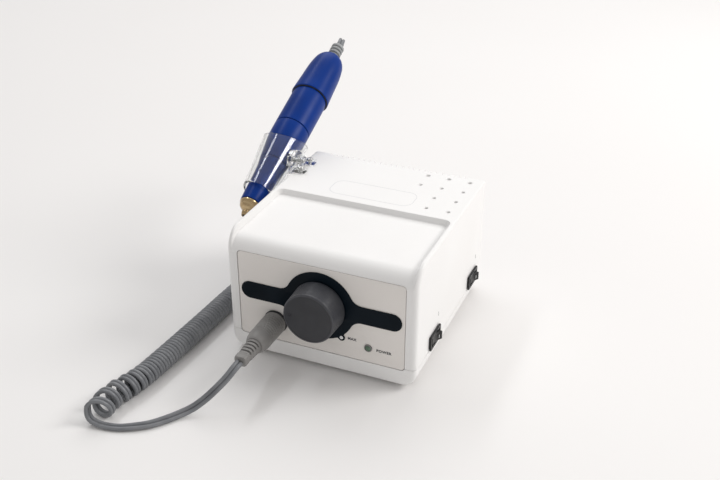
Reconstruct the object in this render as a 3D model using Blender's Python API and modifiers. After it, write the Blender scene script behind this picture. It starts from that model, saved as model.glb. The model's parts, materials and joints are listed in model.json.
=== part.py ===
"""Electric nail drill: control box, handpiece in a clear cradle, coiled twin cord and plug.

Every length below is in millimetres; the helpers turn them into metres. +Z is up, the front panel
faces -Y, and the handpiece stands at the left (-X) side of the box. The origin is on the floor,
under the middle of the object without its cord.
"""

import math

import bmesh
import bpy
from mathutils import Matrix, Vector

MM = 0.001

# Where the control box's own centre stands in the object's frame
BOX_CENTRE = (15.2, -32.5, 0.0)

# Control box shell
HALF_W, HALF_D = 62.5, 66.2
FLOOR_GAP, TOP = 2.8, 83.8
WALL = 3.0
SEAM = 15.0
SEAM_GAP = 0.3
BOTTOM_RADIUS, TOP_RADIUS, FRONT_TOP_RADIUS, PLAN_RADIUS = 9.0, 1.2, 13.5, 3.5
RECESS_DEPTH, RECESS_BACK, RIM = 3.6, 0.2, 3.2
RECESS_FRONT_RADIUS = 11.4
POSTS = [(x, y) for x in (-55.0, 55.0) for y in (-57.0, 57.0)]
FEET = [(x, y) for x in (-46.0, 46.0) for y in (-48.0, 48.0)]
CORNER_NAMES = ("front_left", "rear_left", "front_right", "rear_right")

# Front panel and what stands in it
PANEL_HALF_W, PANEL_LOW, PANEL_HIGH = 55.0, 13.6, 72.4
PANEL_FRONT, PANEL_THICK = 66.0, 2.4
KNOB_Z = 46.4
KNOB_BASE_R, KNOB_FACE_R, KNOB_BACK, KNOB_FACE = 17.2, 16.5, 67.3, 82.7
SOCKET_X, SOCKET_Z = -30.3, 27.3
LED_X, LED_Z = 31.7, 23.9
DECAL_R, ARM_HALF, ARM_TIP, ARM_FILLET = 23.0, 5.9, 53.2, 7.7

# Rocker switches in the right wall
SWITCH_Z = 20.2
SWITCH_YS = {"direction": -34.2, "power": 43.2}
ROCKER_PIVOT_X = 59.4
ROCKER_REST_DEG = 11.0

# Bur rack in the top
BUR_X, BUR_Y, BUR_PITCH_X, BUR_PITCH_Y = 24.3, 11.4, 14.75, 15.2
BUR_SPOTS = ((0, 3), (1, 3), (2, 3), (0, 2), (1, 2), (2, 2), (1, 1), (2, 1), (1, 0), (2, 0))
RACK_LOW = 63.8

# Control board inside the box
BOARD_Z = 12.0
BOARD_PEGS = [(x, y) for x in (-42.0, 38.0) for y in (-46.0, 6.0)]

# Rear connections
REAR_Z = 32.0
INLET_X, FUSE_X, JACK_X = 30.0, 0.0, -30.0

# Handpiece: nose tip, slope of its axis, and stations along it from the tip
NOSE_TIP = (-81.0, -10.64, 63.97)
AXIS_SLOPE_DEG = 23.85
CUP_LOW, CUP_LOW_R, CUP_MOUTH, CUP_MOUTH_R = 22.1, 10.75, 70.4, 15.9
CUP_WALL = 1.5
CRADLE_PIVOT_Y, CRADLE_PIVOT_Z = 36.0, 88.4
BRACKET_SCREW_X, BRACKET_SCREW_YS = -57.4, (28.6, 43.4)

# Cord: a flat twin lead, which is also what the coil is wound from
CORD_WIDTH = 4.4
COIL_OUTER = 14.4
PLUG_END = 112.5

# Free cord routes, each a hand-laid list of points in the box's own frame
LEAD_ROUTE = (
    (-30.3, -113.2, 27.2), (-30.5, -117.8, 26.9), (-33.2, -123.4, 22.4), (-38.4, -128.2, 15.8),
    (-44.2, -132.2, 9.4), (-50.0, -136.6, 4.6), (-55.6, -142.4, 2.6), (-60.9, -149.6, 2.3),
    (-66.8, -156.4, 2.3), (-74.2, -161.3, 2.3), (-82.0, -164.9, 2.3), (-89.8, -167.2, 2.3),
    (-97.0, -169.2, 2.3), (-102.6, -168.4, 2.6), (-103.8, -165.2, 3.8), (-100.6, -162.6, 5.8),
    (-99.2, -161.0, 6.9), (-98.8, -158.1, 7.1),
)
COIL_ROUTE = (
    (-83.0, 44.0, 7.3), (-83.6, 20.0, 7.3), (-84.8, -5.0, 7.3), (-86.3, -30.5, 7.3),
    (-87.4, -57.0, 7.3), (-88.8, -84.0, 7.3), (-90.3, -109.2, 7.3), (-91.8, -126.0, 7.3),
    (-95.0, -139.4, 7.3), (-97.3, -148.0, 7.3), (-98.2, -156.8, 7.3),
)
FLOOR_TAIL_ROUTE = (
    (-112.3, 121.5, 2.9), (-110.2, 114.6, 2.3), (-106.4, 106.0, 2.3), (-101.0, 96.0, 2.3),
    (-95.0, 85.4, 2.3), (-88.6, 73.6, 2.4), (-84.4, 61.0, 3.6), (-83.0, 51.0, 6.4),
    (-83.0, 44.6, 7.3),
)
HANGING_TAIL_ROUTE = (
    (-112.9, 123.4, 3.7), (-115.2, 130.2, 10.6), (-117.4, 136.2, 22.0), (-118.0, 141.0, 36.0),
    (-116.6, 145.4, 51.0), (-113.6, 149.8, 66.0), (-109.4, 154.2, 80.0), (-104.4, 158.0, 92.4),
    (-101.2, 159.8, 99.0),
)
UPPER_TAIL_ROUTE = (
    (-100.9, 160.0, 99.6), (-97.4, 161.6, 106.4), (-93.6, 162.7, 113.8), (-90.2, 163.2, 121.0),
    (-87.4, 162.7, 127.4), (-84.8, 160.6, 132.6), (-82.6, 156.4, 135.2), (-81.3, 151.6, 135.2),
    (-81.0, 146.7, 133.5),
)


# ---------------------------------------------------------------- scene and materials

for leftover in list(bpy.data.objects):
    bpy.data.objects.remove(leftover, do_unlink=True)

PARTS = bpy.data.collections.new("electric_nail_drill")
CUTTERS = bpy.data.collections.new("cutters")
CUTTERS.hide_render = True
for collection in (PARTS, CUTTERS):
    bpy.context.scene.collection.children.link(collection)


def material(name, color, roughness, metallic=0.0, alpha=1.0):
    made = bpy.data.materials.new(name)
    made.use_nodes = True
    shader = made.node_tree.nodes["Principled BSDF"]
    shader.inputs["Base Color"].default_value = (*color, 1.0)
    shader.inputs["Roughness"].default_value = roughness
    shader.inputs["Metallic"].default_value = metallic
    shader.inputs["Alpha"].default_value = alpha
    made.diffuse_color = (*color, alpha)
    return made


WHITE_ABS = material("white_abs", (0.88, 0.86, 0.85), 0.42)
NAVY_FILM = material("navy_film", (0.010, 0.018, 0.035), 0.3)
KNOB_GREY = material("knob_anthracite", (0.055, 0.058, 0.068), 0.45)
CORD_GREY = material("cord_grey", (0.22, 0.23, 0.26), 0.45)
PLUG_GREY = material("plug_grey", (0.25, 0.245, 0.24), 0.5)
BLACK = material("black_plastic", (0.02, 0.02, 0.022), 0.4)
BLUE = material("handpiece_blue", (0.015, 0.05, 0.33), 0.38)
BRASS = material("nose_brass", (0.62, 0.47, 0.25), 0.3, 1.0)
STEEL = material("steel", (0.6, 0.6, 0.6), 0.3, 1.0)
COPPER = material("copper_winding", (0.6, 0.27, 0.12), 0.35, 1.0)
CLEAR = material("clear_acrylic", (0.9, 0.93, 0.95), 0.05, 0.0, 0.3)
RUBBER = material("black_rubber", (0.03, 0.03, 0.03), 0.75)
BOARD_GREEN = material("board_green", (0.03, 0.18, 0.08), 0.5)
LENS = material("led_lens", (0.30, 0.42, 0.32), 0.2)


# ---------------------------------------------------------------- modelling helpers

def empty(name, location, rotation_deg=(0.0, 0.0, 0.0), parent=None):
    made = bpy.data.objects.new(name, None)
    PARTS.objects.link(made)
    made.parent = parent
    made.location = Vector(location) * MM
    made.rotation_euler = [math.radians(angle) for angle in rotation_deg]
    return made


def place(name, mesh, look, parent, cutter=False):
    """An object of this mesh, whose coordinates are the parent's own. look is None on a cutter."""
    made = bpy.data.objects.new(name, mesh)
    (CUTTERS if cutter else PARTS).objects.link(made)
    made.parent = parent
    if cutter:
        made.hide_render = True
        made.display_type = "WIRE"
    else:
        mesh.materials.clear()
        mesh.materials.append(look)
    return made


def box(name, low, high, look=None, parent=None, cutter=False, bevel=0.0):
    """A block from its lowest corner to its highest."""
    form = bmesh.new()
    bmesh.ops.create_cube(form, size=1.0)
    size = [(b - a) * MM for a, b in zip(low, high)]
    middle = [(a + b) / 2 * MM for a, b in zip(low, high)]
    bmesh.ops.scale(form, vec=size, verts=form.verts)
    bmesh.ops.translate(form, vec=middle, verts=form.verts)
    if bevel:
        bmesh.ops.bevel(form, geom=form.edges[:], offset=bevel * MM, segments=2, affect="EDGES")
    mesh = bpy.data.meshes.new(name)
    form.to_mesh(mesh)
    form.free()
    return place(name, mesh, look, parent, cutter)


def turned(name, profile, look=None, parent=None, steps=32, cutter=False, ring=False):
    """A solid of revolution about the parent's Z. profile lists (radius, height) from the top down.

    A solid profile starts and ends on the axis. A ring profile closes on itself.
    """
    count = len(profile)
    edges = [(i, i + 1) for i in range(count - 1)] + ([(count - 1, 0)] if ring else [])
    mesh = bpy.data.meshes.new(name)
    mesh.from_pydata([(r * MM, 0.0, h * MM) for r, h in profile], edges, [])
    made = place(name, mesh, look, parent, cutter)
    screw = made.modifiers.new("turn", "SCREW")
    screw.axis = "Z"
    screw.steps = screw.render_steps = steps
    screw.use_merge_vertices = True
    screw.merge_threshold = 0.00001
    screw.use_smooth_shade = False
    return made


def cylinder(name, radius, low, high, look=None, parent=None, steps=24, cutter=False, bevel=0.0):
    if bevel:
        profile = [(0, high), (radius - bevel, high), (radius, high - bevel),
                   (radius, low + bevel), (radius - bevel, low), (0, low)]
    else:
        profile = [(0, high), (radius, high), (radius, low), (0, low)]
    return turned(name, profile, look, parent, steps, cutter)


def tube(name, outer, inner, low, high, look=None, parent=None, steps=24):
    profile = [(inner, high), (outer, high), (outer, low), (inner, low)]
    return turned(name, profile, look, parent, steps, ring=True)


def baked(made):
    """The object with its modifiers applied and loose caps welded, as a plain mesh object."""
    bpy.context.view_layer.update()
    graph = bpy.context.evaluated_depsgraph_get()
    mesh = bpy.data.meshes.new_from_object(made.evaluated_get(graph))
    form = bmesh.new()
    form.from_mesh(mesh)
    bmesh.ops.remove_doubles(form, verts=form.verts, dist=0.000005)
    bmesh.ops.recalc_face_normals(form, faces=form.faces)
    form.to_mesh(mesh)
    form.free()
    name, cutter = made.name, made.hide_render
    look = made.data.materials[0] if made.data.materials else None
    parent, matrix = made.parent, made.matrix_basis.copy()
    bpy.data.objects.remove(made, do_unlink=True)
    solid = place(name, mesh, look, parent, cutter)
    solid.matrix_basis = matrix
    return solid


# Turns of a flat outline, drawn in X and Y, so that it is pushed out along another axis
FACING = {
    "X": Matrix(((0, 0, 1, 0), (1, 0, 0, 0), (0, 1, 0, 0), (0, 0, 0, 1))),
    "Y": Matrix(((1, 0, 0, 0), (0, 0, -1, 0), (0, 1, 0, 0), (0, 0, 0, 1))),
    "Z": Matrix.Identity(4),
}


def plate(name, loops, axis, low, high, look=None, parent=None, cutter=False):
    """A flat outline pushed out along an axis. Further loops are holes.

    Along X an outline is drawn in (y, z), along Y in (x, z), and along Z in (x, y).
    """
    curve = bpy.data.curves.new(name, "CURVE")
    curve.dimensions = "2D"
    curve.fill_mode = "BOTH"
    curve.extrude = (high - low) / 2 * MM
    for loop in loops:
        spline = curve.splines.new("POLY")
        spline.points.add(len(loop) - 1)
        spline.use_cyclic_u = True
        for point, (u, v) in zip(spline.points, loop):
            point.co = (u * MM, v * MM, 0.0, 1.0)
    made = place(name, curve, look, parent, cutter)
    middle = (low + high) / 2 * MM * (-1 if axis == "Y" else 1)
    made.matrix_basis = FACING[axis] @ Matrix.Translation((0, 0, middle))
    return baked(made)


def arc(centre, radius, start_deg, end_deg, steps):
    """Points along an arc, both ends included."""
    angles = [math.radians(start_deg + (end_deg - start_deg) * i / steps) for i in range(steps + 1)]
    return [(centre[0] + radius * math.cos(a), centre[1] + radius * math.sin(a)) for a in angles]


def circle(centre, radius, steps=24):
    return arc(centre, radius, 0, 360, steps)[:-1]


def rounded_box(low, high, radii, steps=6):
    """A rectangle outline whose corners, from low-low round anticlockwise, have these radii."""
    (u0, v0), (u1, v1) = low, high
    corners = ((u0, v0, 1, 1, 180), (u1, v0, -1, 1, 270), (u1, v1, -1, -1, 0), (u0, v1, 1, -1, 90))
    outline = []
    for (u, v, du, dv, start), radius in zip(corners, radii):
        if radius:
            outline += arc((u + du * radius, v + dv * radius), radius, start, start + 90, steps)
        else:
            outline.append((u, v))
    return outline


def boolean(made, other, operation):
    change = made.modifiers.new(f"{operation.lower()}_{other.name}", "BOOLEAN")
    change.operation = operation
    change.object = other
    change.solver = "EXACT"
    if other.name in PARTS.objects:
        PARTS.objects.unlink(other)
        CUTTERS.objects.link(other)
        other.hide_render = True
        other.display_type = "WIRE"


def cut(made, *cutters):
    for cutter in cutters:
        boolean(made, cutter, "DIFFERENCE")


def join(made, *others):
    for other in others:
        boolean(made, other, "UNION")


def smooth_route(points, spacing):
    """Evenly spaced points on a centripetal Catmull-Rom curve through a route's own points."""
    route = [Vector(point) for point in points]
    route = [2 * route[0] - route[1], *route, 2 * route[-1] - route[-2]]
    fine = []
    for a, b, c, d in zip(route, route[1:], route[2:], route[3:]):
        knots = [0.0]
        for p, q in ((a, b), (b, c), (c, d)):
            knots.append(knots[-1] + max((q - p).length, 1e-6) ** 0.5)
        for i in range(20):
            t = knots[1] + (knots[2] - knots[1]) * i / 20
            a1 = a.lerp(b, (t - knots[0]) / (knots[1] - knots[0]))
            a2 = b.lerp(c, (t - knots[1]) / (knots[2] - knots[1]))
            a3 = c.lerp(d, (t - knots[2]) / (knots[3] - knots[2]))
            b1 = a1.lerp(a2, (t - knots[0]) / (knots[2] - knots[0]))
            b2 = a2.lerp(a3, (t - knots[1]) / (knots[3] - knots[1]))
            fine.append(b1.lerp(b2, (t - knots[1]) / (knots[2] - knots[1])))
    fine.append(route[-2])
    lengths = [0.0]
    for p, q in zip(fine, fine[1:]):
        lengths.append(lengths[-1] + (q - p).length)
    count = max(2, round(lengths[-1] / spacing))
    even, at = [], 0
    for i in range(count + 1):
        target = lengths[-1] * i / count
        while at < len(fine) - 2 and lengths[at + 1] < target:
            at += 1
        span = lengths[at + 1] - lengths[at]
        even.append(fine[at].lerp(fine[at + 1], (target - lengths[at]) / span))
    return even


def cord(name, route, diameter, spacing, parent, resolution=2):
    """A free cord's plain round solid along a smooth curve through its route."""
    curve = bpy.data.curves.new(name, "CURVE")
    curve.dimensions = "3D"
    curve.bevel_depth = diameter / 2 * MM
    curve.bevel_resolution = resolution
    curve.use_fill_caps = True
    points = smooth_route(route, spacing)
    spline = curve.splines.new("POLY")
    spline.points.add(len(points) - 1)
    for point, where in zip(spline.points, points):
        point.co = (*(where * MM), 1.0)
    return place(name, curve, CORD_GREY, parent)


# ---------------------------------------------------------------- frames of the sub-assemblies

unit = empty("unit_frame", BOX_CENTRE)
knob_axis = empty("knob_axis", (0, 0, KNOB_Z), (90, 0, 0), unit)
socket_axis = empty("socket_axis", (SOCKET_X, 0, SOCKET_Z), (90, 0, 0), unit)
led_axis = empty("led_axis", (LED_X, 0, LED_Z), (90, 0, 0), unit)
handpiece_axis = empty("handpiece_axis", NOSE_TIP, (AXIS_SLOPE_DEG - 90, 0, 0), unit)
cradle_axis = empty("cradle_axis", (0, CRADLE_PIVOT_Y, CRADLE_PIVOT_Z), (0, 90, 0), unit)


# ---------------------------------------------------------------- control box shell

def outer_form(name):
    """The whole box as one solid: the side view, cut by the plan, the front view and the recess."""
    low, high = (-HALF_D, FLOOR_GAP), (HALF_D, TOP)
    side = plate(name, [rounded_box(low, high, (0, 0, 2.0, FRONT_TOP_RADIUS), 8)],
                 "X", -HALF_W, HALF_W, WHITE_ABS, unit)
    plan = plate(f"{name}_plan",
                 [rounded_box((-HALF_W, -HALF_D), (HALF_W, HALF_D), (PLAN_RADIUS,) * 4, 4)],
                 "Z", 0, TOP + 5, None, unit, True)
    front = plate(f"{name}_front",
                  [rounded_box((-HALF_W, FLOOR_GAP), (HALF_W, TOP),
                               (BOTTOM_RADIUS, BOTTOM_RADIUS, TOP_RADIUS, TOP_RADIUS), 5)],
                  "Y", -HALF_D - 5, HALF_D + 5, None, unit, True)
    floor_z = TOP - RECESS_DEPTH
    centre = (-HALF_D - 0.2 + RECESS_FRONT_RADIUS, floor_z - RECESS_FRONT_RADIUS)
    swept = arc(centre, RECESS_FRONT_RADIUS, 90, 180, 8)
    above = [(RECESS_BACK, TOP + 6), (-HALF_D - 9, TOP + 6), (-HALF_D - 9, centre[1])]
    recess = plate(f"{name}_recess", [[(RECESS_BACK, floor_z), *above, *swept[::-1]]],
                   "X", -HALF_W + RIM, HALF_W - RIM, None, unit, True)
    ends = plate(f"{name}_recess_plan",
                 [rounded_box((-HALF_W + RIM, -HALF_D - 9), (HALF_W - RIM, RECESS_BACK),
                              (0, 0, 4.0, 4.0), 4)],
                 "Z", floor_z - 20, TOP + 6, None, unit, True)
    boolean(recess, ends, "INTERSECT")
    boolean(side, plan, "INTERSECT")
    boolean(side, front, "INTERSECT")
    cut(side, recess)
    return baked(side)


def rack_holes():
    holes = []
    for i, j in BUR_SPOTS:
        hole = cylinder(f"bur_hole_{i}{j}", 1.45 if j == 3 else 1.2, RACK_LOW + 2, TOP + 1,
                        None, unit, 12, True)
        hole.location = ((BUR_X + BUR_PITCH_X * i) * MM, (BUR_Y + BUR_PITCH_Y * j) * MM, 0)
        holes.append(hole)
    return holes


def vent_slots():
    """A row of slots down the rear wall that notch the top's rear edge."""
    slot = box("vent_slots", (-50.2, HALF_D - 3.8, 66.0), (-48.2, HALF_D + 2, TOP + 2),
               None, unit, True)
    row = slot.modifiers.new("row", "ARRAY")
    row.count = 25
    row.use_relative_offset = False
    row.use_constant_offset = True
    row.constant_offset_displace = (4.1 * MM, 0, 0)
    return slot


def top_cover():
    cover = outer_form("top_cover")
    inside = HALF_W - WALL
    depth = HALF_D - WALL
    floor_z = TOP - RECESS_DEPTH
    cut(cover,
        box("below_seam", (-80, -90, -5), (80, 90, SEAM + SEAM_GAP / 2), None, unit, True),
        box("rear_cavity", (-inside, 3.2, 5), (inside, depth, TOP - WALL), None, unit, True),
        box("front_cavity", (-inside, -depth, 5), (inside, 3.7, floor_z - WALL), None, unit, True),
        plate("panel_window", [rounded_box((-PANEL_HALF_W - 0.4, 5), (PANEL_HALF_W + 0.4,
              PANEL_HIGH + 0.3), (0, 0, 2.5, 2.5), 3)], "Y", -HALF_D - 4, -depth + 4,
              None, unit, True))
    rack = box("bur_rack", (19.0, 6.5, RACK_LOW), (59.9, 62.0, TOP - 1), None, unit, True)
    join(cover, rack)
    for index, (x, y) in enumerate(POSTS):
        post = cylinder(f"post_{index}", 5.0, SEAM + SEAM_GAP, floor_z - 1, None, unit, 16, True)
        pilot = cylinder(f"pilot_{index}", 1.8, 5, 30, None, unit, 12, True)
        for piece in (post, pilot):
            piece.location = (x * MM, y * MM, 0)
        join(cover, post)
        cut(cover, pilot)
    cut(cover, *rack_holes(), vent_slots())
    for name, y in SWITCH_YS.items():
        cut(cover, box(f"{name}_window", (HALF_W - 5, y - 8.4, SWITCH_Z - 4.2),
                       (HALF_W + 5, y + 8.4, SWITCH_Z + 4.2), None, unit, True))
    cut(cover, box("inlet_window", (INLET_X - 13.8, depth - 2, REAR_Z - 10.0),
                   (INLET_X + 13.8, HALF_D + 2, REAR_Z + 10.0), None, unit, True))
    for name, x, radius in (("fuse_hole", FUSE_X, 6.2), ("jack_hole", JACK_X, 4.3)):
        hole = cylinder(name, radius, -HALF_D - 2, -depth + 2, None, unit, 20, True)
        hole.location = (x * MM, 0, REAR_Z * MM)
        hole.rotation_euler = (math.radians(90), 0, 0)
        cut(cover, hole)
    for y in BRACKET_SCREW_YS:
        hole = cylinder(f"bracket_pilot_{y:.0f}", 1.1, TOP - 2.6, TOP + 2, None, unit, 10, True)
        hole.location = (BRACKET_SCREW_X * MM, y * MM, 0)
        cut(cover, hole)


def base_tray():
    tray = outer_form("base_tray")
    inside, depth = HALF_W - WALL, HALF_D - WALL
    cut(tray,
        box("above_seam", (-80, -90, SEAM - SEAM_GAP / 2), (80, 90, TOP + 9), None, unit, True),
        box("tray_cavity", (-inside, -depth, FLOOR_GAP + 2.6), (inside, depth, TOP), None, unit, True),
        box("panel_notch", (-PANEL_HALF_W - 0.4, -HALF_D - 4, PANEL_LOW - 0.3),
            (PANEL_HALF_W + 0.4, -depth + 4, TOP), None, unit, True))
    for index, (x, y) in enumerate(POSTS):
        boss = cylinder(f"boss_{index}", 4.6, FLOOR_GAP + 1.5, SEAM - SEAM_GAP / 2,
                        None, unit, 16, True)
        bore = cylinder(f"boss_bore_{index}", 1.9, 0, 30, None, unit, 12, True)
        head = cylinder(f"boss_head_{index}", 3.4, 0, 6.4, None, unit, 16, True)
        for piece in (boss, bore, head):
            piece.location = (x * MM, y * MM, 0)
        join(tray, boss)
        cut(tray, bore, head)
    for index, (x, y) in enumerate(FEET):
        recess = cylinder(f"foot_recess_{index}", 6.9, 0, FLOOR_GAP + 1.0, None, unit, 20, True)
        recess.location = (x * MM, y * MM, 0)
        cut(tray, recess)
    for index, (x, y) in enumerate(BOARD_PEGS):
        peg = cylinder(f"board_peg_{index}", 2.6, FLOOR_GAP + 1.5, BOARD_Z - 0.3,
                       None, unit, 10, True)
        peg.location = (x * MM, y * MM, 0)
        join(tray, peg)


def feet_and_screws():
    for name, (x, y) in zip(CORNER_NAMES, FEET):
        foot = turned(f"foot_{name}",
                      [(0, 3.5), (6.5, 3.5), (6.5, 1.2), (5.8, 0.0), (0, 0.0)], RUBBER, unit, 24)
        foot.location = (x * MM, y * MM, 0)
    for name, (x, y) in zip(CORNER_NAMES, POSTS):
        screw = turned(f"case_screw_{name}",
                       [(0, 22), (1.2, 22), (1.5, 21), (1.5, 6.1), (2.9, 6.1), (2.9, 4.7),
                        (1.6, 3.9), (0, 3.9)], STEEL, unit, 14)
        screw.location = (x * MM, y * MM, 0)


# ---------------------------------------------------------------- front panel

def overlay_outline():
    """The dark film: a disc round the knob, two round-ended arms and filleted joins."""
    reach = math.sqrt((DECAL_R + ARM_FILLET) ** 2 - (ARM_HALF + ARM_FILLET) ** 2)
    drop = math.degrees(math.atan2(ARM_HALF + ARM_FILLET, reach))
    end = ARM_TIP - ARM_HALF
    right_up = arc((reach, ARM_HALF + ARM_FILLET), ARM_FILLET, 270, 180 + drop, 5)
    disc_top = arc((0, 0), DECAL_R, drop, 180 - drop, 20)
    left_up = arc((-reach, ARM_HALF + ARM_FILLET), ARM_FILLET, -drop, -90, 5)
    left_tip = arc((-end, 0), ARM_HALF, 90, 270, 8)
    left_low = arc((-reach, -ARM_HALF - ARM_FILLET), ARM_FILLET, 90, drop, 5)
    disc_low = arc((0, 0), DECAL_R, 180 + drop, 360 - drop, 20)
    right_low = arc((reach, -ARM_HALF - ARM_FILLET), ARM_FILLET, 180 - drop, 90, 5)
    right_tip = arc((end, 0), ARM_HALF, -90, 90, 8)
    whole = (right_up + disc_top[1:-1] + left_up + left_tip + left_low + disc_low[1:-1]
             + right_low + right_tip)
    return [(x, z + KNOB_Z) for x, z in whole]


def front_panel():
    outline = rounded_box((-PANEL_HALF_W, PANEL_LOW), (PANEL_HALF_W, PANEL_HIGH), (2.2,) * 4, 3)
    holes = [circle((0, KNOB_Z), 5.0), circle((SOCKET_X, SOCKET_Z), 7.2), circle((LED_X, LED_Z), 2.4)]
    plate("front_panel", [outline, *holes], "Y", -PANEL_FRONT, -PANEL_FRONT + PANEL_THICK,
          WHITE_ABS, unit)
    front = -PANEL_FRONT - 0.25
    plate("panel_overlay", [overlay_outline(), circle((0, KNOB_Z), 5.0)], "Y", front - 0.3, front,
          NAVY_FILM, unit)


def speed_control():
    """The knob's axis runs out of the panel along the local Z."""
    knob = turned("speed_knob", [
        (0, KNOB_FACE), (KNOB_FACE_R - 0.7, KNOB_FACE), (KNOB_FACE_R, KNOB_FACE - 0.6),
        (KNOB_BASE_R, KNOB_BACK + 0.4), (KNOB_BASE_R - 0.4, KNOB_BACK), (14.6, KNOB_BACK),
        (14.2, KNOB_FACE - 3.6), (6.0, KNOB_FACE - 3.6), (6.0, KNOB_BACK + 3.2),
        (3.3, KNOB_BACK + 3.2), (3.3, KNOB_FACE - 3.0), (0, KNOB_FACE - 3.0)],
        KNOB_GREY, knob_axis, 36)
    dimple = turned("knob_dimple", [(0, 1.3), (0.9, 0.9), (1.3, 0), (0.9, -0.9), (0, -1.3)],
                    None, knob_axis, 12, True)
    dimple.location = (-12.3 * MM, 0, (KNOB_FACE + 0.35) * MM)
    cut(knob, dimple)
    cylinder("knob_shaft", 3.0, 50.4, KNOB_FACE - 3.4, STEEL, knob_axis, 20)
    turned("potentiometer", [
        (3.3, 66.9), (4.5, 66.9), (4.6, 60.0), (11.8, 60.0), (12.0, 59.6), (12.0, 49.0),
        (0, 49.0), (0, 50.0), (3.3, 50.0)], STEEL, knob_axis, 24, ring=True)
    plate("potentiometer_nut", [circle((0, 0), 7.0, 6), circle((0, 0), 4.9, 20)],
          "Z", 66.85, 68.9, STEEL, knob_axis)


def output_socket():
    turned("output_socket", [
        (5.6, 67.4), (7.9, 67.4), (7.9, 66.3), (6.9, 66.3), (6.9, 50.0), (0, 50.0), (0, 52.0),
        (5.6, 52.0)], BLACK, socket_axis, 28, ring=True)
    plate("socket_nut", [circle((0, 0), 9.6, 6), circle((0, 0), 7.2, 24)], "Z", 60.6, 63.2,
          STEEL, socket_axis)


def power_lamp():
    turned("led_holder", [(1.65, 67.0), (2.3, 67.0), (2.5, 66.6), (2.5, 66.3), (2.1, 66.3),
                          (2.1, 61.6), (1.65, 61.6)], WHITE_ABS, led_axis, 20, ring=True)
    turned("led_lens", [(0, 67.5), (0.8, 67.3), (1.35, 66.7), (1.35, 61.0), (0, 61.0)],
           LENS, led_axis, 16)


def plug():
    """The plug on the cord's end: a turned housing on a metal ferrule, and a boot with cross slots."""
    turned("plug_housing", [
        (0, 94.8), (5.2, 94.8), (6.3, 93.4), (7.2, 90.6), (7.4, 87.8), (7.5, 78.0), (7.65, 68.4),
        (7.5, 67.8), (5.5, 67.8), (5.5, 69.0), (0, 69.0)], PLUG_GREY, socket_axis, 24)
    turned("plug_ferrule", [(0, 68.7), (5.2, 68.7), (5.2, 54.4), (4.8, 54.0), (0, 54.0)],
           STEEL, socket_axis, 24)
    boot = turned("plug_boot", [(0, PLUG_END), (3.2, PLUG_END), (3.6, PLUG_END - 0.5),
                                (3.5, 108.0), (4.8, 96.0), (4.8, 95.1), (0, 95.1)],
                  PLUG_GREY, socket_axis, 20)
    for slot in range(4):
        at = 97.4 + 2.6 * slot
        for side, reach in (("top", 1), ("under", -1)):
            span = sorted((reach * 2.0, reach * 7.0))
            cut(boot, box(f"boot_slot_{side}_{slot}", (-4.0, span[0], at), (4.0, span[1], at + 1.1),
                          None, socket_axis, True))


# ---------------------------------------------------------------- rocker switches

def rocker_outline(y):
    """The rocker in plan at rest: its rear end stands out, its front end is pressed in."""
    neutral = [(-5.9, 6.2), (-5.3, -1.2), (-2.2, -3.4), (2.2, -3.4), (5.3, -1.2), (5.9, 6.2),
               (3.0, 5.0), (0.0, 4.6), (-3.0, 5.0)]
    tilt = math.radians(ROCKER_REST_DEG)
    outline = []
    for along, out in neutral:
        outline.append((ROCKER_PIVOT_X + out * math.cos(tilt) + along * math.sin(tilt),
                        y + along * math.cos(tilt) - out * math.sin(tilt)))
    return outline


def rocker_switch(name, y):
    body = box(f"{name}_switch_body", (49.0, y - 8.1, SWITCH_Z - 3.9),
               (HALF_W + 0.8, y + 8.1, SWITCH_Z + 3.9), BLACK, unit)
    bezel = box(f"{name}_bezel", (HALF_W + 0.3, y - 9.2, SWITCH_Z - 5.1),
                (HALF_W + 1.7, y + 9.2, SWITCH_Z + 5.1), None, unit, True, bevel=0.4)
    join(body, bezel)
    for side in (-4.5, 0.0, 4.5):
        join(body, box(f"{name}_terminal_{side:.0f}", (44.0, y + side - 0.4, SWITCH_Z - 2.0),
                       (50.0, y + side + 0.4, SWITCH_Z + 2.0), None, unit, True))
    cut(body, box(f"{name}_well", (54.6, y - 7.3, SWITCH_Z - 3.3), (HALF_W + 5, y + 7.3,
                  SWITCH_Z + 3.3), None, unit, True))
    pivot = empty(f"{name}_rocker_axis", (ROCKER_PIVOT_X, y, SWITCH_Z), parent=unit)
    outline = [(x - ROCKER_PIVOT_X, along - y) for x, along in rocker_outline(y)]
    plate(f"{name}_rocker", [outline], "Z", -3.0, 3.0, BLACK, pivot)


# ---------------------------------------------------------------- inside the box

def inside_parts():
    outline = rounded_box((-46, -50), (42, 10), (0,) * 4)
    plate("control_board", [outline, *[circle(peg, 1.6, 10) for peg in BOARD_PEGS]], "Z",
          BOARD_Z, BOARD_Z + 1.6, BOARD_GREEN, unit)
    can = cylinder("smoothing_capacitor", 8.0, BOARD_Z + 1.9, BOARD_Z + 29, BLACK, unit, 20,
                   bevel=0.6)
    can.location = (-25 * MM, -24 * MM, 0)
    comb = [(-4.0, BOARD_Z + 1.9), (32.0, BOARD_Z + 1.9)]
    for fin in range(6):
        at = 32.0 - 6.8 * fin
        comb += [(at, BOARD_Z + 24), (at - 2.0, BOARD_Z + 24)]
        if fin < 5:
            comb += [(at - 2.0, BOARD_Z + 5), (at - 6.8, BOARD_Z + 5)]
    comb[-1] = (-4.0, BOARD_Z + 24)
    plate("heat_sink", [comb], "Y", -30, -18, STEEL, unit)
    core = [rounded_box((-48, 6.0), (6, 50), (0,) * 4),
            rounded_box((-39, 15), (-29, 41), (0,) * 4), rounded_box((-13, 15), (-3, 41), (0,) * 4)]
    plate("transformer_core", core, "Y", 21, 41, STEEL, unit)
    plate("transformer_winding", [
        rounded_box((-38.4, 12.6), (-3.6, 49.4), (3,) * 4, 3),
        rounded_box((-29.4, 20.6), (-12.6, 41.4), (0,) * 4)], "Z", 15.6, 40.4, COPPER, unit)


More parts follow.
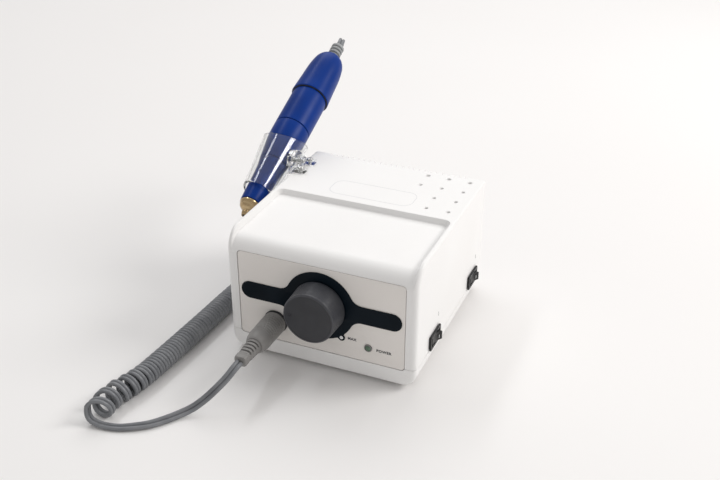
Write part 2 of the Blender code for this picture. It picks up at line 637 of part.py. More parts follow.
def rear_connections():
    inlet = box("mains_inlet", (INLET_X - 13.5, 46.0, REAR_Z - 9.7),
                (INLET_X + 13.5, HALF_D + 1, REAR_Z + 9.7), BLACK, unit)
    join(inlet, box("inlet_flange", (INLET_X - 16.5, HALF_D + 0.3, REAR_Z - 12.0),
                    (INLET_X + 16.5, HALF_D + 2.5, REAR_Z + 12.0), None, unit, True, bevel=0.6))
    mouth = [(INLET_X - 12.0, REAR_Z - 8.2), (INLET_X + 12.0, REAR_Z - 8.2),
             (INLET_X + 12.0, REAR_Z + 3.5), (INLET_X + 7.5, REAR_Z + 8.2),
             (INLET_X - 7.5, REAR_Z + 8.2), (INLET_X - 12.0, REAR_Z + 3.5)]
    cut(inlet, plate("inlet_mouth", [mouth], "Y", 51.5, HALF_D + 6, None, unit, True))
    for index, (dx, dz) in enumerate(((-7.0, -1.5), (0.0, 2.5), (7.0, -1.5))):
        join(inlet, box(f"inlet_pin_{index}", (INLET_X + dx - 1, 50, REAR_Z + dz - 2),
                        (INLET_X + dx + 1, 60.5, REAR_Z + dz + 2), None, unit, True))
    fuse_axis = empty("fuse_axis", (FUSE_X, 0, REAR_Z), (-90, 0, 0), unit)
    turned("fuse_holder", [(0, 73.0), (6.2, 73.0), (6.8, 72.4), (6.8, 69.6), (8.0, 69.4),
                           (8.0, 66.5), (5.8, 66.5), (5.8, 51.5), (0, 51.5)],
           BLACK, fuse_axis, 24)
    jack_axis = empty("jack_axis", (JACK_X, 0, REAR_Z), (-90, 0, 0), unit)
    turned("pedal_jack", [(1.8, 69.4), (5.6, 69.4), (6.0, 69.0), (6.0, 66.5), (4.0, 66.5),
                          (4.0, 54.0), (0, 54.0), (0, 56.0), (1.8, 56.0)],
           BLACK, jack_axis, 20, ring=True)


# ---------------------------------------------------------------- cradle

def cradle_bracket():
    """A clear plate standing at the box's left edge, with two feet screwed to the top."""
    y, z = CRADLE_PIVOT_Y, CRADLE_PIVOT_Z
    foot_z = TOP + 0.3
    sides = [(y - 10.5, z - 6.0), (y + 10.5, z - 6.0), (y + 10.5, foot_z + 2.2)]
    outline = sides + arc((y, z), 7.0, 15, 165, 10) + [(y - 10.5, foot_z + 2.2)]
    bracket = plate("cradle_bracket", [outline, circle((y, z), 1.9, 16)], "X",
                    -HALF_W - 2.8, -HALF_W - 0.4, CLEAR, unit)
    for index, low in enumerate((y - 10.5, y + 4.5)):
        join(bracket, box(f"bracket_foot_{index}", (-HALF_W - 1.0, low, foot_z),
                          (-HALF_W + 9.0, low + 6.0, foot_z + 2.2), None, unit, True))
    for index, screw_y in enumerate(BRACKET_SCREW_YS):
        hole = cylinder(f"bracket_hole_{index}", 1.3, TOP - 4, TOP + 9, None, unit, 12, True)
        hole.location = (BRACKET_SCREW_X * MM, screw_y * MM, 0)
        cut(bracket, hole)
        side = ("front", "rear")[index]
        screw = turned(f"bracket_screw_{side}", [(0, 88.0), (1.4, 88.0), (2.2, 87.2), (2.2, 86.6),
                       (0.8, 86.6), (0.8, 81.7), (0, 81.7)], STEEL, unit, 14)
        screw.location = (BRACKET_SCREW_X * MM, screw_y * MM, 0)


def cradle_cup():
    """The clear sleeve: a cone about the handpiece's axis, with its mouth cut level and a boss."""
    slope = (CUP_MOUTH_R - CUP_LOW_R) / (CUP_MOUTH - CUP_LOW)
    high = CUP_MOUTH + 8.0
    high_r = CUP_LOW_R + slope * (high - CUP_LOW)
    cup = turned("cradle_cup", [
        (high_r - CUP_WALL, high), (high_r, high), (CUP_LOW_R, CUP_LOW),
        (CUP_LOW_R - CUP_WALL, CUP_LOW)], CLEAR, handpiece_axis, 36, ring=True)
    mouth = box("cup_mouth", (-30, -40, 0), (30, 40, 30), None, handpiece_axis, True)
    mouth.location = (0, 0, CUP_MOUTH * MM)
    mouth.rotation_euler = (math.radians(AXIS_SLOPE_DEG), 0, 0)
    cut(cup, mouth)
    boss = cylinder("cup_boss", 6.5, -HALF_W - 5.9, -HALF_W - 3.2, None, cradle_axis, 20, True)
    bore = cylinder("cup_boss_bore", 1.9, -HALF_W - 12, -HALF_W, None, cradle_axis, 16, True)
    join(cup, boss)
    cut(cup, bore)
    turned("cradle_pivot_screw", [(0, -HALF_W + 4.2), (1.5, -HALF_W + 4.2), (1.5, -HALF_W - 5.2),
                                  (0, -HALF_W - 5.2)], STEEL, cradle_axis, 16)
    knurl = [(r * math.cos(math.radians(a)), r * math.sin(math.radians(a)))
             for a, r in ((15 * i, 3.6 if i % 2 else 4.1) for i in range(24))]
    plate("cradle_thumb_nut", [knurl, circle((0, 0), 1.8, 16)], "Z", -HALF_W - 0.1, -HALF_W + 4.0,
          BLACK, cradle_axis)


# ---------------------------------------------------------------- handpiece

def handpiece_shell():
    turned("nose_cone", [
        (1.6, 10.6), (5.0, 10.6), (7.35, 10.6), (7.35, 10.0), (6.4, 7.1), (3.2, 4.2), (2.5, 3.9),
        (2.5, 3.4), (2.9, 3.1), (1.9, 0.0), (1.6, 0.0)], BRASS, handpiece_axis, 32, ring=True)
    turned("chuck_grip", [
        (4.6, 47.5), (9.9, 47.5), (8.9, 41.0), (8.45, 34.8), (8.2, 28.0), (7.95, 18.6),
        (7.5, 10.9), (4.6, 10.9)], BLUE, handpiece_axis, 32, ring=True)
    turned("front_housing", [
        (11.2, 80.6), (13.05, 80.6), (12.95, 71.0), (12.6, 65.9), (11.5, 58.5), (10.5, 51.5),
        (10.0, 47.9), (7.4, 47.9), (7.4, 57.0), (11.2, 64.0)], BLUE, handpiece_axis, 32, ring=True)
    turned("motor_housing", [
        (12.0, 113.4), (12.8, 113.4), (13.05, 111.0), (13.05, 81.5), (12.8, 81.2), (12.0, 81.2)],
        BLUE, handpiece_axis, 32, ring=True)
    dome = [(10.2, 153.3), (11.4, 149.4), (12.1, 145.5), (12.6, 141.7), (12.9, 137.8)]
    turned("rear_cap", [
        (4.5, 159.2), (5.0, 158.9), (7.6, 156.9), *dome, (13.3, 130.2), (13.7, 122.6),
        (14.2, 114.8), (14.0, 114.0), (11.5, 114.0), (11.5, 140.0), (9.0, 151.0), (4.5, 155.0)],
        BLUE, handpiece_axis, 32, ring=True)
    turned("strain_relief", [(0, 171.3), (3.8, 171.3), (4.1, 170.8), (4.1, 152.0), (6.0, 150.5),
                             (6.0, 149.0), (0, 149.0)], PLUG_GREY, handpiece_axis, 20)


def handpiece_motor():
    """Everything inside the housings that the motor needs; the shaft assembly spins."""
    tube("front_bearing", 7.1, 2.9, 51.0, 56.0, STEEL, handpiece_axis)
    tube("stator_magnet", 11.7, 8.9, 83.0, 110.0, BLACK, handpiece_axis, 28)
    tube("rear_bearing", 11.2, 2.9, 127.5, 132.5, STEEL, handpiece_axis, 28)
    for side in (-1, 1):
        low, high = sorted((side * 4.6, side * 10.6))
        box(f"brush_{'left' if side < 0 else 'right'}", (low, -1.5, 118.0), (high, 1.5, 122.0),
            BLACK, handpiece_axis)
    turned("spindle_shaft", [(0, 133.5), (2.5, 133.5), (2.5, 50.0), (3.6, 48.0), (3.6, 18.0),
                             (2.6, 16.0), (2.6, 13.6), (0, 13.6)], STEEL, handpiece_axis, 20)
    turned("armature_and_commutator", [
        (2.8, 125.0), (4.2, 125.0), (4.2, 114.6), (3.4, 114.2), (3.4, 109.2), (8.3, 108.5),
        (8.3, 84.5), (2.8, 84.5)], COPPER, handpiece_axis, 24, ring=True)
    turned("collet", [(1.2, 13.3), (1.35, 13.3), (1.35, 0.6), (1.2, 0.6)],
           STEEL, handpiece_axis, 16, ring=True)


# ---------------------------------------------------------------- build

top_cover()
base_tray()
feet_and_screws()
front_panel()
speed_control()
output_socket()
power_lamp()
plug()
for switch_name, switch_y in SWITCH_YS.items():
    rocker_switch(switch_name, switch_y)
inside_parts()
rear_connections()
cradle_bracket()
cradle_cup()
handpiece_shell()
handpiece_motor()
cord("plug_lead", LEAD_ROUTE, CORD_WIDTH, 9.0, unit)
cord("cord_coil", COIL_ROUTE, COIL_OUTER, 12.0, unit, 3)
cord("tail_on_floor", FLOOR_TAIL_ROUTE, CORD_WIDTH, 9.0, unit)
cord("tail_hanging", HANGING_TAIL_ROUTE, CORD_WIDTH, 10.0, unit)
cord("tail_at_handpiece", UPPER_TAIL_ROUTE, CORD_WIDTH, 8.0, unit)

for made in PARTS.objects:
    if made.type == "MESH":
        made.data.shade_smooth()
        made.data.set_sharp_from_angle(angle=math.radians(35))
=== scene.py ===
"""Looks of the electric nail drill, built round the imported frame.

Lengths are in millimetres in the box's own frame (its centre at x = y = 0, the table at z = 0), and
the helpers turn them into the frame's metres.
"""

import json
import math

import bmesh
import bpy
from mathutils import Matrix, Vector


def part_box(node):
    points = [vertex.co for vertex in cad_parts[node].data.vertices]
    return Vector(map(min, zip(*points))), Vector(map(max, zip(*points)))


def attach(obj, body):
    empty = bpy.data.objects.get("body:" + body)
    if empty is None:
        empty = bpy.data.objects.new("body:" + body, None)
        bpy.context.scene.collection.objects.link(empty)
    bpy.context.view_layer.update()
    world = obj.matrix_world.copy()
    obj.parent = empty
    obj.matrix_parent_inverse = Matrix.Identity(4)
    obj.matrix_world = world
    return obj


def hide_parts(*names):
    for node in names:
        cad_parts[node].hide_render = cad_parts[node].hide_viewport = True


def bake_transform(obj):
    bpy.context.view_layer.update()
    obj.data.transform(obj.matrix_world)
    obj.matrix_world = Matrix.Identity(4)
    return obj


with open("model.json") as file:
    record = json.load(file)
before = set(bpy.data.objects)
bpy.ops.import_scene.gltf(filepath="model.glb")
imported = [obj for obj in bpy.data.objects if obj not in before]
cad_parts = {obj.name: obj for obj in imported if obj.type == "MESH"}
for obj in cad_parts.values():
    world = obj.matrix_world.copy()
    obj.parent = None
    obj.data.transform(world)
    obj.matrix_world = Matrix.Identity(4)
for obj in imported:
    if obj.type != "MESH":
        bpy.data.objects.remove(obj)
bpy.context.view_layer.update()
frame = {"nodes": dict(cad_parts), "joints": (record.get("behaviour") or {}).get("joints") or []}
MM = 0.001


def middle(node):
    """The centre of a node's box, in the frame's millimetres."""
    low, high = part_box(node)
    return (Vector(low) + Vector(high)) / 2 / MM


def joint(name):
    return next(one for one in frame["joints"] if one["name"] == name)


BOX = middle("base_tray")
BOX.z = 0.0


def at(x, y, z):
    """A point of the box's own frame, in metres in the row's frame."""
    return (Vector((x, y, z)) + BOX) * MM


def local(point):
    return Vector(point) / MM - BOX


def facing(origin, z_axis, x_axis):
    """The frame whose Z and X lie along these directions, at a point given in metres."""
    z = Vector(z_axis).normalized()
    x = (Vector(x_axis) - Vector(x_axis).dot(z) * z).normalized()
    return Matrix.Translation(origin) @ Matrix((x, z.cross(x), z)).transposed().to_4x4()


HERE = Matrix.Translation(BOX * MM)
knob = local(joint("speed_turn")["pos_m"])
socket = local(middle("output_socket") * MM)
lamp = local(middle("led_holder") * MM)
tip = local(joint("spindle_spin")["pos_m"])
drill_axis = Vector(joint("spindle_spin")["axis"]).normalized()
tilt = local(joint("cradle_tilt")["pos_m"])
KNOB = facing(at(knob.x, 0, knob.z), (0, -1, 0), (1, 0, 0))
SOCKET = facing(at(socket.x, 0, socket.z), (0, -1, 0), (1, 0, 0))
LAMP = facing(at(lamp.x, 0, lamp.z), (0, -1, 0), (1, 0, 0))
DRILL = facing(joint("spindle_spin")["pos_m"], drill_axis, (1, 0, 0))
TILT = facing(at(0, tilt.y, tilt.z), (1, 0, 0), (0, 1, 0))


# ---------------------------------------------------------------- camera, light and floor

def camera_and_light():
    data = bpy.data.cameras.new("camera")
    data.lens, data.sensor_width = 50.0, 36.0
    data.clip_start, data.clip_end = 0.01, 20.0
    camera = bpy.data.objects.new("camera", data)
    bpy.context.scene.collection.objects.link(camera)
    right, up, back = ((0.92154, 0.38826, 0.00265), (-0.19066, 0.44658, 0.87419),
                       (0.33824, -0.80611, 0.48557))
    turn = Matrix((right, up, back)).transposed().to_4x4()
    camera.matrix_world = Matrix.Translation(at(218.72, -524.97, 373.72)) @ turn
    bpy.context.scene.camera = camera

    bpy.context.scene.view_settings.view_transform = "Standard"
    world = bpy.data.worlds.new("studio")
    world.use_nodes = True
    background = world.node_tree.nodes["Background"]
    background.inputs["Color"].default_value = (1.0, 0.985, 0.975, 1.0)
    background.inputs["Strength"].default_value = 0.54
    bpy.context.scene.world = world

    def area(name, spot, aim, size, power, color):
        light = bpy.data.lights.new(name, "AREA")
        light.shape = "RECTANGLE"
        light.size, light.size_y = size
        light.energy, light.color = power, color
        lamp_object = bpy.data.objects.new(name, light)
        bpy.context.scene.collection.objects.link(lamp_object)
        spot, aim = Vector(spot), Vector(aim)
        lamp_object.matrix_world = facing(spot, spot - aim, (1, 0, 0))

    area("window_behind", (-0.35, 1.3, 1.3), (0, 0, 0.05), (1.3, 0.9), 6.5, (1.0, 0.99, 0.98))
    area("window_right", (1.3, 0.55, 1.1), (0, 0, 0.05), (0.55, 0.9), 16.0, (1.0, 0.985, 0.97))
    area("strip_left", (-0.75, 0.33, 1.45), (0, 0, 0.1), (0.14, 1.0), 4.0, (0.95, 0.97, 1.0))

    bpy.ops.mesh.primitive_plane_add(size=9.0, location=(0, 2.0, 0))
    floor = bpy.context.object
    floor.name = "studio_floor"
    look, nodes, links, shader = principled("studio_floor", (0.86, 0.85, 0.84), 0.55)
    wash(nodes, links, shader, (0.85, 0.835, 0.825), (0.87, 0.86, 0.852), 1.4)
    floor.data.materials.append(look)


# ---------------------------------------------------------------- materials

def principled(name, color, roughness, metallic=0.0, **more):
    look = bpy.data.materials.new(name)
    look.use_nodes = True
    nodes, links = look.node_tree.nodes, look.node_tree.links
    shader = nodes["Principled BSDF"]
    shader.inputs["Base Color"].default_value = (*color, 1.0)
    shader.inputs["Roughness"].default_value = roughness
    shader.inputs["Metallic"].default_value = metallic
    for socket_name, value in more.items():
        shader.inputs[socket_name.replace("_", " ")].default_value = value
    return look, nodes, links, shader


def noise(nodes, links, scale, detail=3.0, stretch=(1, 1, 1), roughness=0.55):
    place = nodes.new("ShaderNodeTexCoord")
    mapping = nodes.new("ShaderNodeMapping")
    mapping.inputs["Scale"].default_value = stretch
    made = nodes.new("ShaderNodeTexNoise")
    made.inputs["Scale"].default_value = scale
    made.inputs["Detail"].default_value = detail
    made.inputs["Roughness"].default_value = roughness
    links.new(place.outputs["Object"], mapping.inputs["Vector"])
    links.new(mapping.outputs["Vector"], made.inputs["Vector"])
    return made.outputs["Fac"]


def wash(nodes, links, shader, dark, light, scale, stretch=(1, 1, 1)):
    """A slow drift of the base colour between two close tones."""
    ramp = nodes.new("ShaderNodeValToRGB")
    ramp.color_ramp.elements[0].position, ramp.color_ramp.elements[1].position = 0.35, 0.65
    ramp.color_ramp.elements[0].color = (*dark, 1.0)
    ramp.color_ramp.elements[1].color = (*light, 1.0)
    links.new(noise(nodes, links, scale, 2.0, stretch), ramp.inputs["Fac"])
    links.new(ramp.outputs["Color"], shader.inputs["Base Color"])


def worn(nodes, links, shader, low, high, scale, stretch=(1, 1, 1)):
    """Roughness that varies between two values, as handled surfaces do."""
    spread = nodes.new("ShaderNodeMapRange")
    spread.inputs["From Min"].default_value, spread.inputs["From Max"].default_value = 0.3, 0.7
    spread.inputs["To Min"].default_value, spread.inputs["To Max"].default_value = low, high
    links.new(noise(nodes, links, scale, 4.0, stretch), spread.inputs["Value"])
    links.new(spread.outputs["Result"], shader.inputs["Roughness"])


def grain(nodes, links, shader, scale, height, strength=0.5, stretch=(1, 1, 1), before=None):
    """Fine bumps of the given height in millimetres. before is a bump node that it adds to."""
    bump = nodes.new("ShaderNodeBump")
    bump.inputs["Strength"].default_value = strength
    bump.inputs["Distance"].default_value = height * MM
    links.new(noise(nodes, links, scale, 2.0, stretch), bump.inputs["Height"])
    if before:
        links.new(before.outputs["Normal"], bump.inputs["Normal"])
    links.new(bump.outputs["Normal"], shader.inputs["Normal"])
    return bump


def rings(nodes, links, shader, per_metre, height, strength=0.4):
    """Turned or moulded rings across the piece's own Z axis."""
    place = nodes.new("ShaderNodeTexCoord")
    wave = nodes.new("ShaderNodeTexWave")
    wave.wave_type, wave.bands_direction, wave.wave_profile = "BANDS", "Z", "SIN"
    wave.inputs["Scale"].default_value = per_metre / 10 * math.pi
    wave.inputs["Distortion"].default_value = 0.0
    bump = nodes.new("ShaderNodeBump")
    bump.inputs["Strength"].default_value = strength
    bump.inputs["Distance"].default_value = height * MM
    links.new(place.outputs["Object"], wave.inputs["Vector"])
    links.new(wave.outputs["Fac"], bump.inputs["Height"])
    links.new(bump.outputs["Normal"], shader.inputs["Normal"])
    return bump


def moulded(name, dark, light, rough, scale=1500.0, height=0.02, drift=12.0, **more):
    """Injection-moulded plastic: a drifting tone, handled patches and a fine spark texture."""
    look, nodes, links, shader = principled(name, light, rough[0], **more)
    wash(nodes, links, shader, dark, light, drift)
    worn(nodes, links, shader, *rough, 55.0)
    grain(nodes, links, shader, scale, height)
    return look


def ringed(name, dark, light, rough, per_metre, height, metallic=0.0, **more):
    look, nodes, links, shader = principled(name, light, rough[0], metallic, **more)
    wash(nodes, links, shader, dark, light, 25.0)
    worn(nodes, links, shader, *rough, 90.0)
    grain(nodes, links, shader, 1800.0, 0.012, 0.4, before=rings(nodes, links, shader,
          per_metre, height))
    return look


def metal(name, dark, light, rough, stretch=(1, 1, 1)):
    look, nodes, links, shader = principled(name, light, rough[0], 1.0)
    wash(nodes, links, shader, dark, light, 60.0, stretch)
    worn(nodes, links, shader, *rough, 300.0, stretch)
    grain(nodes, links, shader, 900.0, 0.01, 0.35, stretch)
    return look


WHITE = moulded("white_abs", (0.86, 0.85, 0.84), (0.885, 0.88, 0.872), (0.36, 0.46), 1400.0, 0.02,
                9.0)
PANEL = moulded("panel_abs", (0.80, 0.765, 0.73), (0.83, 0.795, 0.76), (0.42, 0.52), 1700.0, 0.016,
                11.0)
FILM = moulded("navy_film", (0.0035, 0.007, 0.011), (0.005, 0.010, 0.016), (0.30, 0.40), 700.0,
               0.010, 40.0, Specular_IOR_Level=0.08)
INK = moulded("printed_ink", (0.022, 0.025, 0.032), (0.035, 0.04, 0.048), (0.4, 0.5), 900.0, 0.005)
FAINT_INK = moulded("faint_ink", (0.60, 0.60, 0.61), (0.66, 0.66, 0.67), (0.4, 0.5), 900.0, 0.004)
WHITE_INK = moulded("white_ink", (0.78, 0.79, 0.80), (0.86, 0.87, 0.88), (0.35, 0.45), 900.0, 0.005)
KNOB_SIDE = ringed("knob_anthracite", (0.040, 0.042, 0.050), (0.056, 0.058, 0.068), (0.30, 0.42),
                   2000.0, 0.03)
KNOB_FACE = moulded("knob_face", (0.016, 0.017, 0.022), (0.025, 0.026, 0.032), (0.42, 0.55), 1500.0,
                    0.03, 60.0)
CORD = moulded("cord_grey", (0.165, 0.172, 0.185), (0.225, 0.232, 0.245), (0.33, 0.48), 1100.0,
               0.02, 70.0)
PLUG = moulded("plug_grey", (0.235, 0.227, 0.22), (0.30, 0.292, 0.285), (0.42, 0.56), 1300.0,
               0.03, 70.0)
RELIEF = moulded("relief_grey", (0.26, 0.27, 0.275), (0.33, 0.34, 0.345), (0.38, 0.5), 1300.0,
                 0.02, 70.0)
BLACK = moulded("black_plastic", (0.007, 0.007, 0.008), (0.013, 0.013, 0.015), (0.30, 0.42),
                1400.0, 0.02, 60.0, Specular_IOR_Level=0.35)
BLUE = moulded("handpiece_blue", (0.002, 0.027, 0.185), (0.003, 0.036, 0.235), (0.30, 0.40),
               1500.0, 0.008, 30.0, Specular_IOR_Level=0.12)
# Near-black for the handpiece's cap seam: painted shade, standing for no real part.
PAINTED_SEAM_SHADE = moulded("painted_seam_shade", (0.004, 0.005, 0.012), (0.008, 0.009, 0.018), (0.5, 0.6), 1500.0,
                   0.01, 60.0)
BRASS = metal("nose_brass", (0.38, 0.27, 0.14), (0.58, 0.44, 0.26), (0.16, 0.30), (1, 1, 8))
STEEL = metal("turned_steel", (0.50, 0.50, 0.50), (0.64, 0.64, 0.63), (0.22, 0.36), (1, 1, 6))
ALUMINIUM = metal("heat_sink_alloy", (0.55, 0.55, 0.57), (0.68, 0.68, 0.70), (0.34, 0.46))
COPPER = metal("copper_wire", (0.48, 0.20, 0.08), (0.66, 0.32, 0.15), (0.25, 0.4), (1, 1, 20))
RUBBER = moulded("foot_rubber", (0.018, 0.018, 0.018), (0.032, 0.032, 0.032), (0.65, 0.8), 700.0,
                 0.05, 60.0)
BOARD = moulded("board_green", (0.015, 0.13, 0.05), (0.03, 0.19, 0.08), (0.3, 0.45), 500.0, 0.03)


def clear_plastic(name, ior, coat):
    """Clear acrylic, with faint scuffs that blur it here and there, under a polished skin."""
    look, nodes, links, shader = principled(name, (0.97, 0.978, 0.98), 0.04,
                                            Transmission_Weight=1.0, IOR=ior, Coat_Weight=coat,
                                            Coat_Roughness=0.03, Coat_IOR=1.5)
    worn(nodes, links, shader, 0.02, 0.10, 120.0)
    grain(nodes, links, shader, 260.0, 0.006, 0.3)
    return look


def lamp_lens():
    look, nodes, links, shader = principled("lamp_lens", (0.18, 0.30, 0.20), 0.15,
                                            Transmission_Weight=0.35, IOR=1.45)
    wash(nodes, links, shader, (0.13, 0.22, 0.15), (0.22, 0.34, 0.24), 500.0)
    worn(nodes, links, shader, 0.10, 0.22, 400.0)
    return look


CLEAR = clear_plastic("clear_acrylic", 1.2, 1.0)
THIN_CLEAR = clear_plastic("thin_clear_acrylic", 1.12, 0.35)
LENS = lamp_lens()


# ---------------------------------------------------------------- mesh helpers

def finished(name, mesh, look, matrix=None, body=None, stands_for=(), sharp=32.0):
    """A piece that rides on a body and hides the nodes it stands for."""
    made = bpy.data.objects.new(name, mesh)
    bpy.context.scene.collection.objects.link(made)
    if matrix is not None:
        made.matrix_world = matrix
    mesh.materials.clear()
    mesh.materials.append(look)
    mesh.shade_smooth()
    mesh.set_sharp_from_angle(angle=math.radians(sharp))
    if body:
        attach(made, body)
    for node in stands_for:
        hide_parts(node)
    return made


def mesh_from(name, points, faces):
    mesh = bpy.data.meshes.new(name)
    mesh.from_pydata([tuple(Vector(p) * MM) for p in points], [], faces)
    form = bmesh.new()
    form.from_mesh(mesh)
    bmesh.ops.remove_doubles(form, verts=form.verts, dist=1e-7)
    bmesh.ops.recalc_face_normals(form, faces=form.faces)
    form.to_mesh(mesh)
    form.free()
    return mesh


def softened(profile, radius, steps=3):
    """The profile with its corners rounded, where they turn by more than about 18 degrees."""
    points = [Vector(p) for p in profile]
    soft = [points[0]]
    for before, here, after in zip(points, points[1:], points[2:]):
        inward, outward = before - here, after - here
        if inward.length < 1e-6 or outward.length < 1e-6:
            continue
        if inward.angle(outward) > math.radians(162):
            soft.append(here)
            continue
        reach = min(radius, inward.length * 0.45, outward.length * 0.45)
        start, end = here + inward.normalized() * reach, here + outward.normalized() * reach
        for i in range(steps + 1):
            t = i / steps
            soft.append(start.lerp(here, t).lerp(here.lerp(end, t), t))
    soft.append(points[-1])
    return [tuple(p) for p in soft]


def lathe(profile, steps=96, radius=0.25, ring=False):
    """A turned mesh about Z. profile lists (radius, height) from the top down its outer side."""
    if ring:
        profile = softened([*profile, profile[0], profile[1]], radius)[1:-1]
    else:
        profile = softened(profile, radius)
    points, faces, starts = [], [], []
    for r, h in profile:
        starts.append(len(points))
        if r < 1e-6:
            points.append((0, 0, h))
            continue
        for k in range(steps):
            turn = 2 * math.pi * k / steps
            points.append((r * math.cos(turn), r * math.sin(turn), h))
    rows = list(zip(range(len(profile)), range(1, len(profile))))
    if ring:
        rows.append((len(profile) - 1, 0))
    for a, b in rows:
        pole_a, pole_b = profile[a][0] < 1e-6, profile[b][0] < 1e-6
        for k in range(steps):
            n = (k + 1) % steps
            if pole_a and pole_b:
                continue
            if pole_a:
                faces.append((starts[a], starts[b] + k, starts[b] + n))
            elif pole_b:
                faces.append((starts[a] + k, starts[b], starts[a] + n))
            else:
                faces.append((starts[a] + k, starts[b] + k, starts[b] + n, starts[a] + n))
    return mesh_from("turned", points, faces)


def arc(centre, radius, start_deg, end_deg, steps):
    angles = [math.radians(start_deg + (end_deg - start_deg) * i / steps) for i in range(steps + 1)]
    return [(centre[0] + radius * math.cos(a), centre[1] + radius * math.sin(a)) for a in angles]


def circle(centre, radius, steps=48):
    return arc(centre, radius, 0, 360, steps)[:-1]


def rounded_box(low, high, radius, steps=8):
    (u0, v0), (u1, v1) = low, high
    corners = ((u0, v0, 1, 1, 180), (u1, v0, -1, 1, 270), (u1, v1, -1, -1, 0), (u0, v1, 1, -1, 90))
    outline = []
    for u, v, du, dv, start in corners:
        outline += arc((u + du * radius, v + dv * radius), radius, start, start + 90, steps)
    return outline


FACING = {
    "X": Matrix(((0, 0, 1, 0), (1, 0, 0, 0), (0, 1, 0, 0), (0, 0, 0, 1))),
    "Y": Matrix(((1, 0, 0, 0), (0, 0, -1, 0), (0, 1, 0, 0), (0, 0, 0, 1))),
    "Z": Matrix.Identity(4),
}


def plate(loops, axis, low, high, edge=0.0, edge_steps=3):
    """A flat outline pushed out along an axis, with its edges rounded inward. More loops are holes.

    Along X an outline is drawn in (y, z), along Y in (x, z), and along Z in (x, y).
    """
    curve = bpy.data.curves.new("plate", "CURVE")
    curve.dimensions, curve.fill_mode = "2D", "BOTH"
    curve.extrude = ((high - low) / 2 - edge) * MM
    curve.bevel_depth, curve.bevel_resolution, curve.offset = edge * MM, edge_steps, -edge * MM
    for loop in loops:
        spline = curve.splines.new("POLY")
        spline.points.add(len(loop) - 1)
        spline.use_cyclic_u = True
        for point, (u, v) in zip(spline.points, loop):
            point.co = (u * MM, v * MM, 0.0, 1.0)
    holder = bpy.data.objects.new("plate", curve)
    bpy.context.scene.collection.objects.link(holder)
    bpy.context.view_layer.update()
    mesh = bpy.data.meshes.new_from_object(
        holder.evaluated_get(bpy.context.evaluated_depsgraph_get()))
    bpy.data.objects.remove(holder, do_unlink=True)
    centre = (low + high) / 2 * MM * (-1 if axis == "Y" else 1)
    mesh.transform(FACING[axis] @ Matrix.Translation((0, 0, centre)))
    form = bmesh.new()
    form.from_mesh(mesh)
    bmesh.ops.remove_doubles(form, verts=form.verts, dist=2e-6)
    bmesh.ops.recalc_face_normals(form, faces=form.faces)
    form.to_mesh(mesh)
    form.free()
    return mesh


def block(low, high, edge=0.0):
    form = bmesh.new()
    bmesh.ops.create_cube(form, size=1.0)
    bmesh.ops.scale(form, vec=[(b - a) * MM for a, b in zip(low, high)], verts=form.verts)
    bmesh.ops.translate(form, vec=[(a + b) / 2 * MM for a, b in zip(low, high)], verts=form.verts)
    if edge:
        bmesh.ops.bevel(form, geom=form.edges[:], offset=edge * MM, segments=3, profile=0.5,
                        affect="EDGES")
    mesh = bpy.data.meshes.new("block")
    form.to_mesh(mesh)
    form.free()
    return mesh


def peg(radius, low, high, steps=32, matrix=None):
    """A plain cylinder from `low` to `high`, turned and moved by `matrix` if there is one."""
    mesh = lathe([(0, high), (radius, high), (radius, low), (0, low)], steps, 0.0)
    if matrix is not None:
        mesh.transform(matrix)
    return mesh


def moved(mesh, x=0.0, y=0.0, z=0.0):
    mesh.transform(Matrix.Translation(Vector((x, y, z)) * MM))
    return mesh


def merged(*meshes):
    """Meshes that don't touch, as one."""
    form = bmesh.new()
    for mesh in meshes:
        form.from_mesh(mesh)
    whole = bpy.data.meshes.new("merged")
    form.to_mesh(whole)
    form.free()
    return whole


def combined(mesh, *steps):
    """The mesh after Boolean steps, each an operation and another mesh."""
    holder = bpy.data.objects.new("whole", mesh)
    bpy.context.scene.collection.objects.link(holder)
    others = []
    for operation, other in steps:
        tool = bpy.data.objects.new("tool", other)
        bpy.context.scene.collection.objects.link(tool)
        change = holder.modifiers.new("step", "BOOLEAN")
        change.operation, change.object, change.solver = operation, tool, "EXACT"
        others.append(tool)
    bpy.context.view_layer.update()
    result = bpy.data.meshes.new_from_object(
        holder.evaluated_get(bpy.context.evaluated_depsgraph_get()))
    for used in (holder, *others):
        bpy.data.objects.remove(used, do_unlink=True)
    return result


CUT, JOIN = "DIFFERENCE", "UNION"


# ---------------------------------------------------------------- cord

CORD_WIDTH, STRAND_R = 5.0, 1.25
LEAD_ROUTE = (
    (-30.3, -113.2, 27.2), (-30.5, -117.8, 26.9), (-33.2, -123.4, 22.4), (-38.4, -128.2, 15.8),
    (-44.2, -132.2, 9.4), (-50.0, -136.6, 4.6), (-55.6, -142.4, 2.6), (-60.9, -149.6, 2.2),
    (-66.8, -156.4, 2.2), (-74.2, -161.6, 2.1), (-81.6, -165.4, 1.7), (-88.6, -167.2, 1.35),
)
LEAD_LEAN = (0.29, -0.69, 0.64)
COIL_CENTRES = (
    (-95.0, -167.4, 8.0), (-97.2, -158.0, 7.6), (-97.3, -148.0, 7.3), (-95.0, -139.4, 7.3),
    (-91.8, -126.0, 7.3), (-90.3, -109.2, 7.3), (-88.8, -84.0, 7.3), (-87.4, -57.0, 7.3),
    (-86.3, -30.5, 7.3), (-84.8, -5.0, 7.3), (-83.6, 20.0, 7.3), (-83.0, 44.6, 7.3),
    (-83.2, 52.0, 5.8), (-84.4, 61.0, 3.0), (-88.6, 73.6, 1.3), (-95.0, 85.4, 1.3),
    (-101.0, 96.0, 1.3), (-106.4, 106.0, 1.4), (-110.4, 115.0, 1.8), (-112.7, 122.9, 3.5),
)
